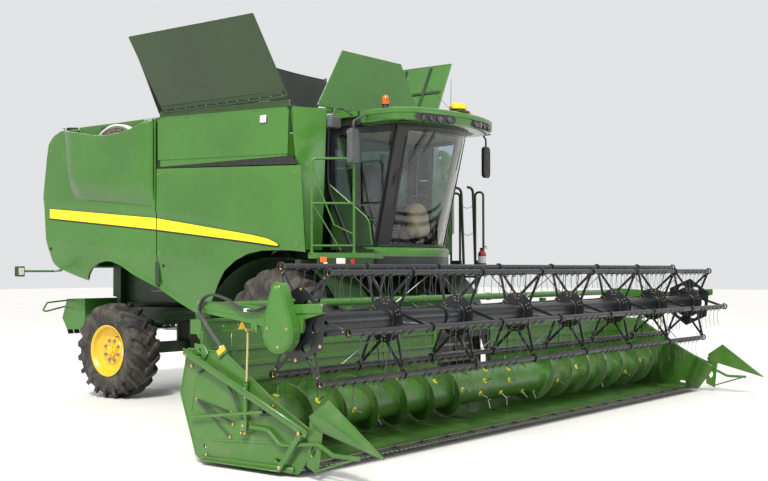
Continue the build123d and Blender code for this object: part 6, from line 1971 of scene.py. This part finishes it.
def rear_end():
    K = Kit("green_paint")
    # straw spreader: ribs, rubber curtain, discs with vanes underneath, lamp loops
    look("straw_spreader", "green_paint")
    for x in (-1.13, -0.58, 0.0, 0.58, 1.13):
        K.beam((x, 5.31, 1.395), (x, 5.425, 1.105), 0.04, 0.016, (0, 1, 0), 0.004)
    K.beam((-1.14, 5.30, 1.404), (1.14, 5.30, 1.404), 0.05, 0.018, (0, 0, 1), 0.005)
    K.use("hose_rubber")
    for k in range(19):
        x = -1.12 + 0.1178 * k
        K.beam((x + 0.055, 5.412, 1.11), (x + 0.055, 5.315, 0.86), 0.108, 0.008, (0, 1, 0), 0.002)
    K.use("steel")
    for s in (-1, 1):
        K.lathe((s * 0.56, 5.08, 0.90), (0, 0, 1), [(0, 0.0), (0, 0.34), (0.008, 0.345), (0.012, 0.34), (0.012, 0.06), (0.05, 0.05), (0.05, 0.0)], 48)
        for k in range(4):
            a = pi * k / 2 + 0.4
            K.beam((s * 0.56 + 0.08 * cos(a), 5.08 + 0.08 * sin(a), 0.885), (s * 0.56 + 0.33 * cos(a), 5.08 + 0.33 * sin(a), 0.885), 0.008, 0.06, (0, 0, 1), 0.002)
        K.use("red_lens")
        for y, z in ((5.245, 1.885), (5.245, 1.815)):
            K.obox((s * 2.08, y, z), (0.045, 0, 0), (0, 0.008, 0), (0, 0, 0.026), 0.005)
            K.use("orange_lens")
        K.use("black_plastic")
        K.obox((s * 2.08, 5.20, 1.845), (0.062, 0, 0), (0, 0.042, 0), (0, 0, 0.078), 0.012)
        K.use("white_paint")
        K.obox((s * 2.08, 5.156, 1.845), (0.045, 0, 0), (0, 0.004, 0), (0, 0, 0.055), 0.003)
        K.use("steel")
    K.build("rear_end_details", "chassis", (), "green_paint")

    # underside: driveline covers, belts, tank sump, ladders of pipes along the rails, fender liners
    # the dark green fender liners and rail beams: painted shade under the body
    K = Kit("dark_green_paint")
    for s in (-1, 1):
        rows = []
        for i in range(19):
            a = rad(14 + 152 * i / 18)
            y, z = 0.40 - 1.06 * cos(a) * (1.12 if cos(a) > 0 else 1.25), 0.93 + 1.10 * sin(a)
            z = min(z, 2.02)
            rows.append([(s * x, y, z) for x in (0.93, 1.02, 1.52, 1.575)])
        K.grid(rows, flip=s < 0)
        K.beam((s * 0.80, 0.20, 1.24), (s * 0.80, 3.40, 1.24), 0.03, 0.06, (0, 0, 1), 0.006)
    K.use("black_paint")
    K.box(-1.20, -0.70, 2.30, 3.30, 1.55, 2.20, 0.03)
    K.box(0.70, 1.20, 2.30, 3.30, 1.45, 2.10, 0.03)
    K.use("tine_steel")
    for x, y, z, r in ((-0.665, 1.20, 1.95, 0.26), (-0.665, 2.30, 1.75, 0.20), (-0.665, 3.55, 1.85, 0.24), (0.665, 1.05, 1.75, 0.22), (0.665, 2.05, 2.1, 0.20), (0.665, 3.60, 1.75, 0.26)):
        s = 1 if x > 0 else -1
        K.lathe((x - s * 0.04, y, z), (s, 0, 0), [(0, 0.03), (0, r), (0.008, r + 0.008), (0.012, r - 0.006), (0.034, r - 0.006), (0.038, r + 0.008), (0.046, r), (0.046, r * 0.72), (0.03, r * 0.66), (0.03, 0.06), (0.06, 0.055), (0.06, 0)], 40)
    K.use("hose_rubber")
    for x, pts in ((-0.665, ((1.20, 1.95, 0.262), (2.30, 1.75, 0.202))), (-0.665, ((2.30, 1.75, 0.190), (3.55, 1.85, 0.240))), (0.665, ((1.05, 1.75, 0.222), (2.05, 2.1, 0.202)))):
        (y0, z0, r0), (y1, z1, r1) = pts
        for e in (-1, 1):
            K.beam((x, y0, z0 + e * r0), (x, y1, z1 + e * r1), 0.022, 0.014, (0, 0, 1), 0.003)
    K.use("black_paint")
    for s in (-1, 1):
        for z in (1.335, 1.36):
            K.tube([(s * 0.70, -0.02, z), (s * 0.70, 2.4, z), (s * 0.70, 4.4, z)], 0.009, 8)
    K.build("underbody_drives", "chassis", (), "dark_green_paint", 40)
    # axles: flanges, final drives, tie rod, kingpin caps
    # dark green axle parts: painted shade under the body
    K = Kit("dark_green_paint")
    for s in (-1, 1):
        K.lathe((s * 0.905, 0.40, 0.95), (s, 0, 0), [(-0.02, 0.0), (-0.02, 0.185), (0.02, 0.185), (0.03, 0.17), (0.05, 0.150), (0.10, 0.142), (0.30, 0.136), (0.31, 0.16), (0.322, 0.16)], 40)
        K.use("steel")
        for k in range(10):
            a = 2 * pi * k / 10
            K.bolt((s * 0.925, 0.40 + 0.168 * cos(a), 0.95 + 0.168 * sin(a)), (s, 0, 0), 0.011, 0.008)
        K.use("dark_green_paint")
    K.box(-0.36, 0.36, 0.24, 0.56, 0.88, 1.08, 0.03)
    K.lathe((0, 3.60, 0.69), (0, 1, 0), [(0.0, 0.07), (0.22, 0.07)], 24)
    K.build("axle_details", "chassis", (), "dark_green_paint", 40)
    for s, w in ((1, "left"), (-1, "right")):
        # dark green kingpin caps: painted shade under the body
        K = Kit("dark_green_paint")
        K.lathe((s * 1.01, 3.71, 0.835), (0, 0, 1), [(0, 0.055), (0.012, 0.055), (0.02, 0.04), (0.022, 0.0)], 28)
        K.lathe((s * 1.15, 3.71, 0.69), (s, 0, 0), [(0, 0.10), (0.04, 0.10), (0.06, 0.082), (0.10, 0.078), (0.30, 0.076), (0.325, 0.076)], 32)
        K.use("steel")
        for k in range(4):
            a = 2 * pi * (k + 0.5) / 4
            K.bolt((s * 1.01 + 0.042 * cos(a), 3.71 + 0.042 * sin(a), 0.847), (0, 0, 1), 0.007, 0.006)
        K.build(f"kingpin_cap_{w}", f"knuckle_{w}", (), "dark_green_paint", 40)
    # engine under the hood, seen over the scoop and from above
    K = Kit("cast_engine")
    K.box(-0.46, 0.46, 3.05, 4.15, 2.80, 3.30, 0.04)
    K.box(-0.30, 0.30, 3.10, 4.10, 3.30, 3.52, 0.05)
    for k in range(6):
        K.box(-0.40, -0.28, 3.16 + 0.155 * k, 3.26 + 0.155 * k, 3.30, 3.44, 0.02)
    K.use("black_paint")
    K.rod((-0.40, 3.12, 3.40), (-0.40, 4.05, 3.40), 0.06, 20)
    K.box(-1.10, -0.60, 3.05, 4.30, 2.85, 3.70, 0.03)
    K.use("tine_steel")
    K.lathe((0.30, 3.60, 3.50), (0, 1, 0), [(-0.25, 0.0), (-0.25, 0.12), (0.25, 0.12), (0.25, 0.0)], 28)
    K.build("engine_dressing", "chassis", ("engine_block",), "cast_engine", 40)


def hang_canvas():
    o, o2, rows = canvas()
    rows = np.array(rows)
    # clear window, a sewn patch that follows the canvas
    K = Kit("clear_vinyl")
    win = [[rows[i, j] + (0, -0.006, 0) for j in range(20, 41)] for i in range(9, 21)]
    K.grid(win, flip=True)
    K.use("black_plastic")
    edge = win[0] + [r[-1] for r in win[1:]] + win[-1][::-1][1:] + [r[0] for r in win[::-1][1:-1]]
    K.tube([tuple(p) for p in edge], 0.0045, 6, closed=True)
    o3 = K.build("canvas_window", "chassis", (), "canvas", 80)
    for ob in (o, o2, o3):
        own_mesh(ob)


# ------------------------------------------------------------------ main
camera()
lights()
materials()
fl = bpy.data.meshes.new("floor")
fl.from_pydata([(-90, -90, 0), (90, -90, 0), (90, 90, 0), (-90, 90, 0)], [], [(0, 1, 2, 3)])
fl.materials.append(MATS["floor"])
flo = bpy.data.objects.new("floor", fl)
bpy.context.scene.collection.objects.link(flo)

SLOT = {s["node"]: s["material_slot"] for s in frame["record"]["subparts"]}
for node in NODES:
    look(node, SLOT.get(node, "green_paint"))
for node in ("side_panels_left", "front_corner_panels", "grain_tank"):
    look(node, "green_paint")
body_sides()
cab()
mirrors_and_steps()
scoop()
hood_details()
covers()
hang_canvas()
wheels()
header_table()
header_sides()
knife()
auger()
feeder()
reel()
bats()
arms()
cylinders()
unloader()
rear_end()
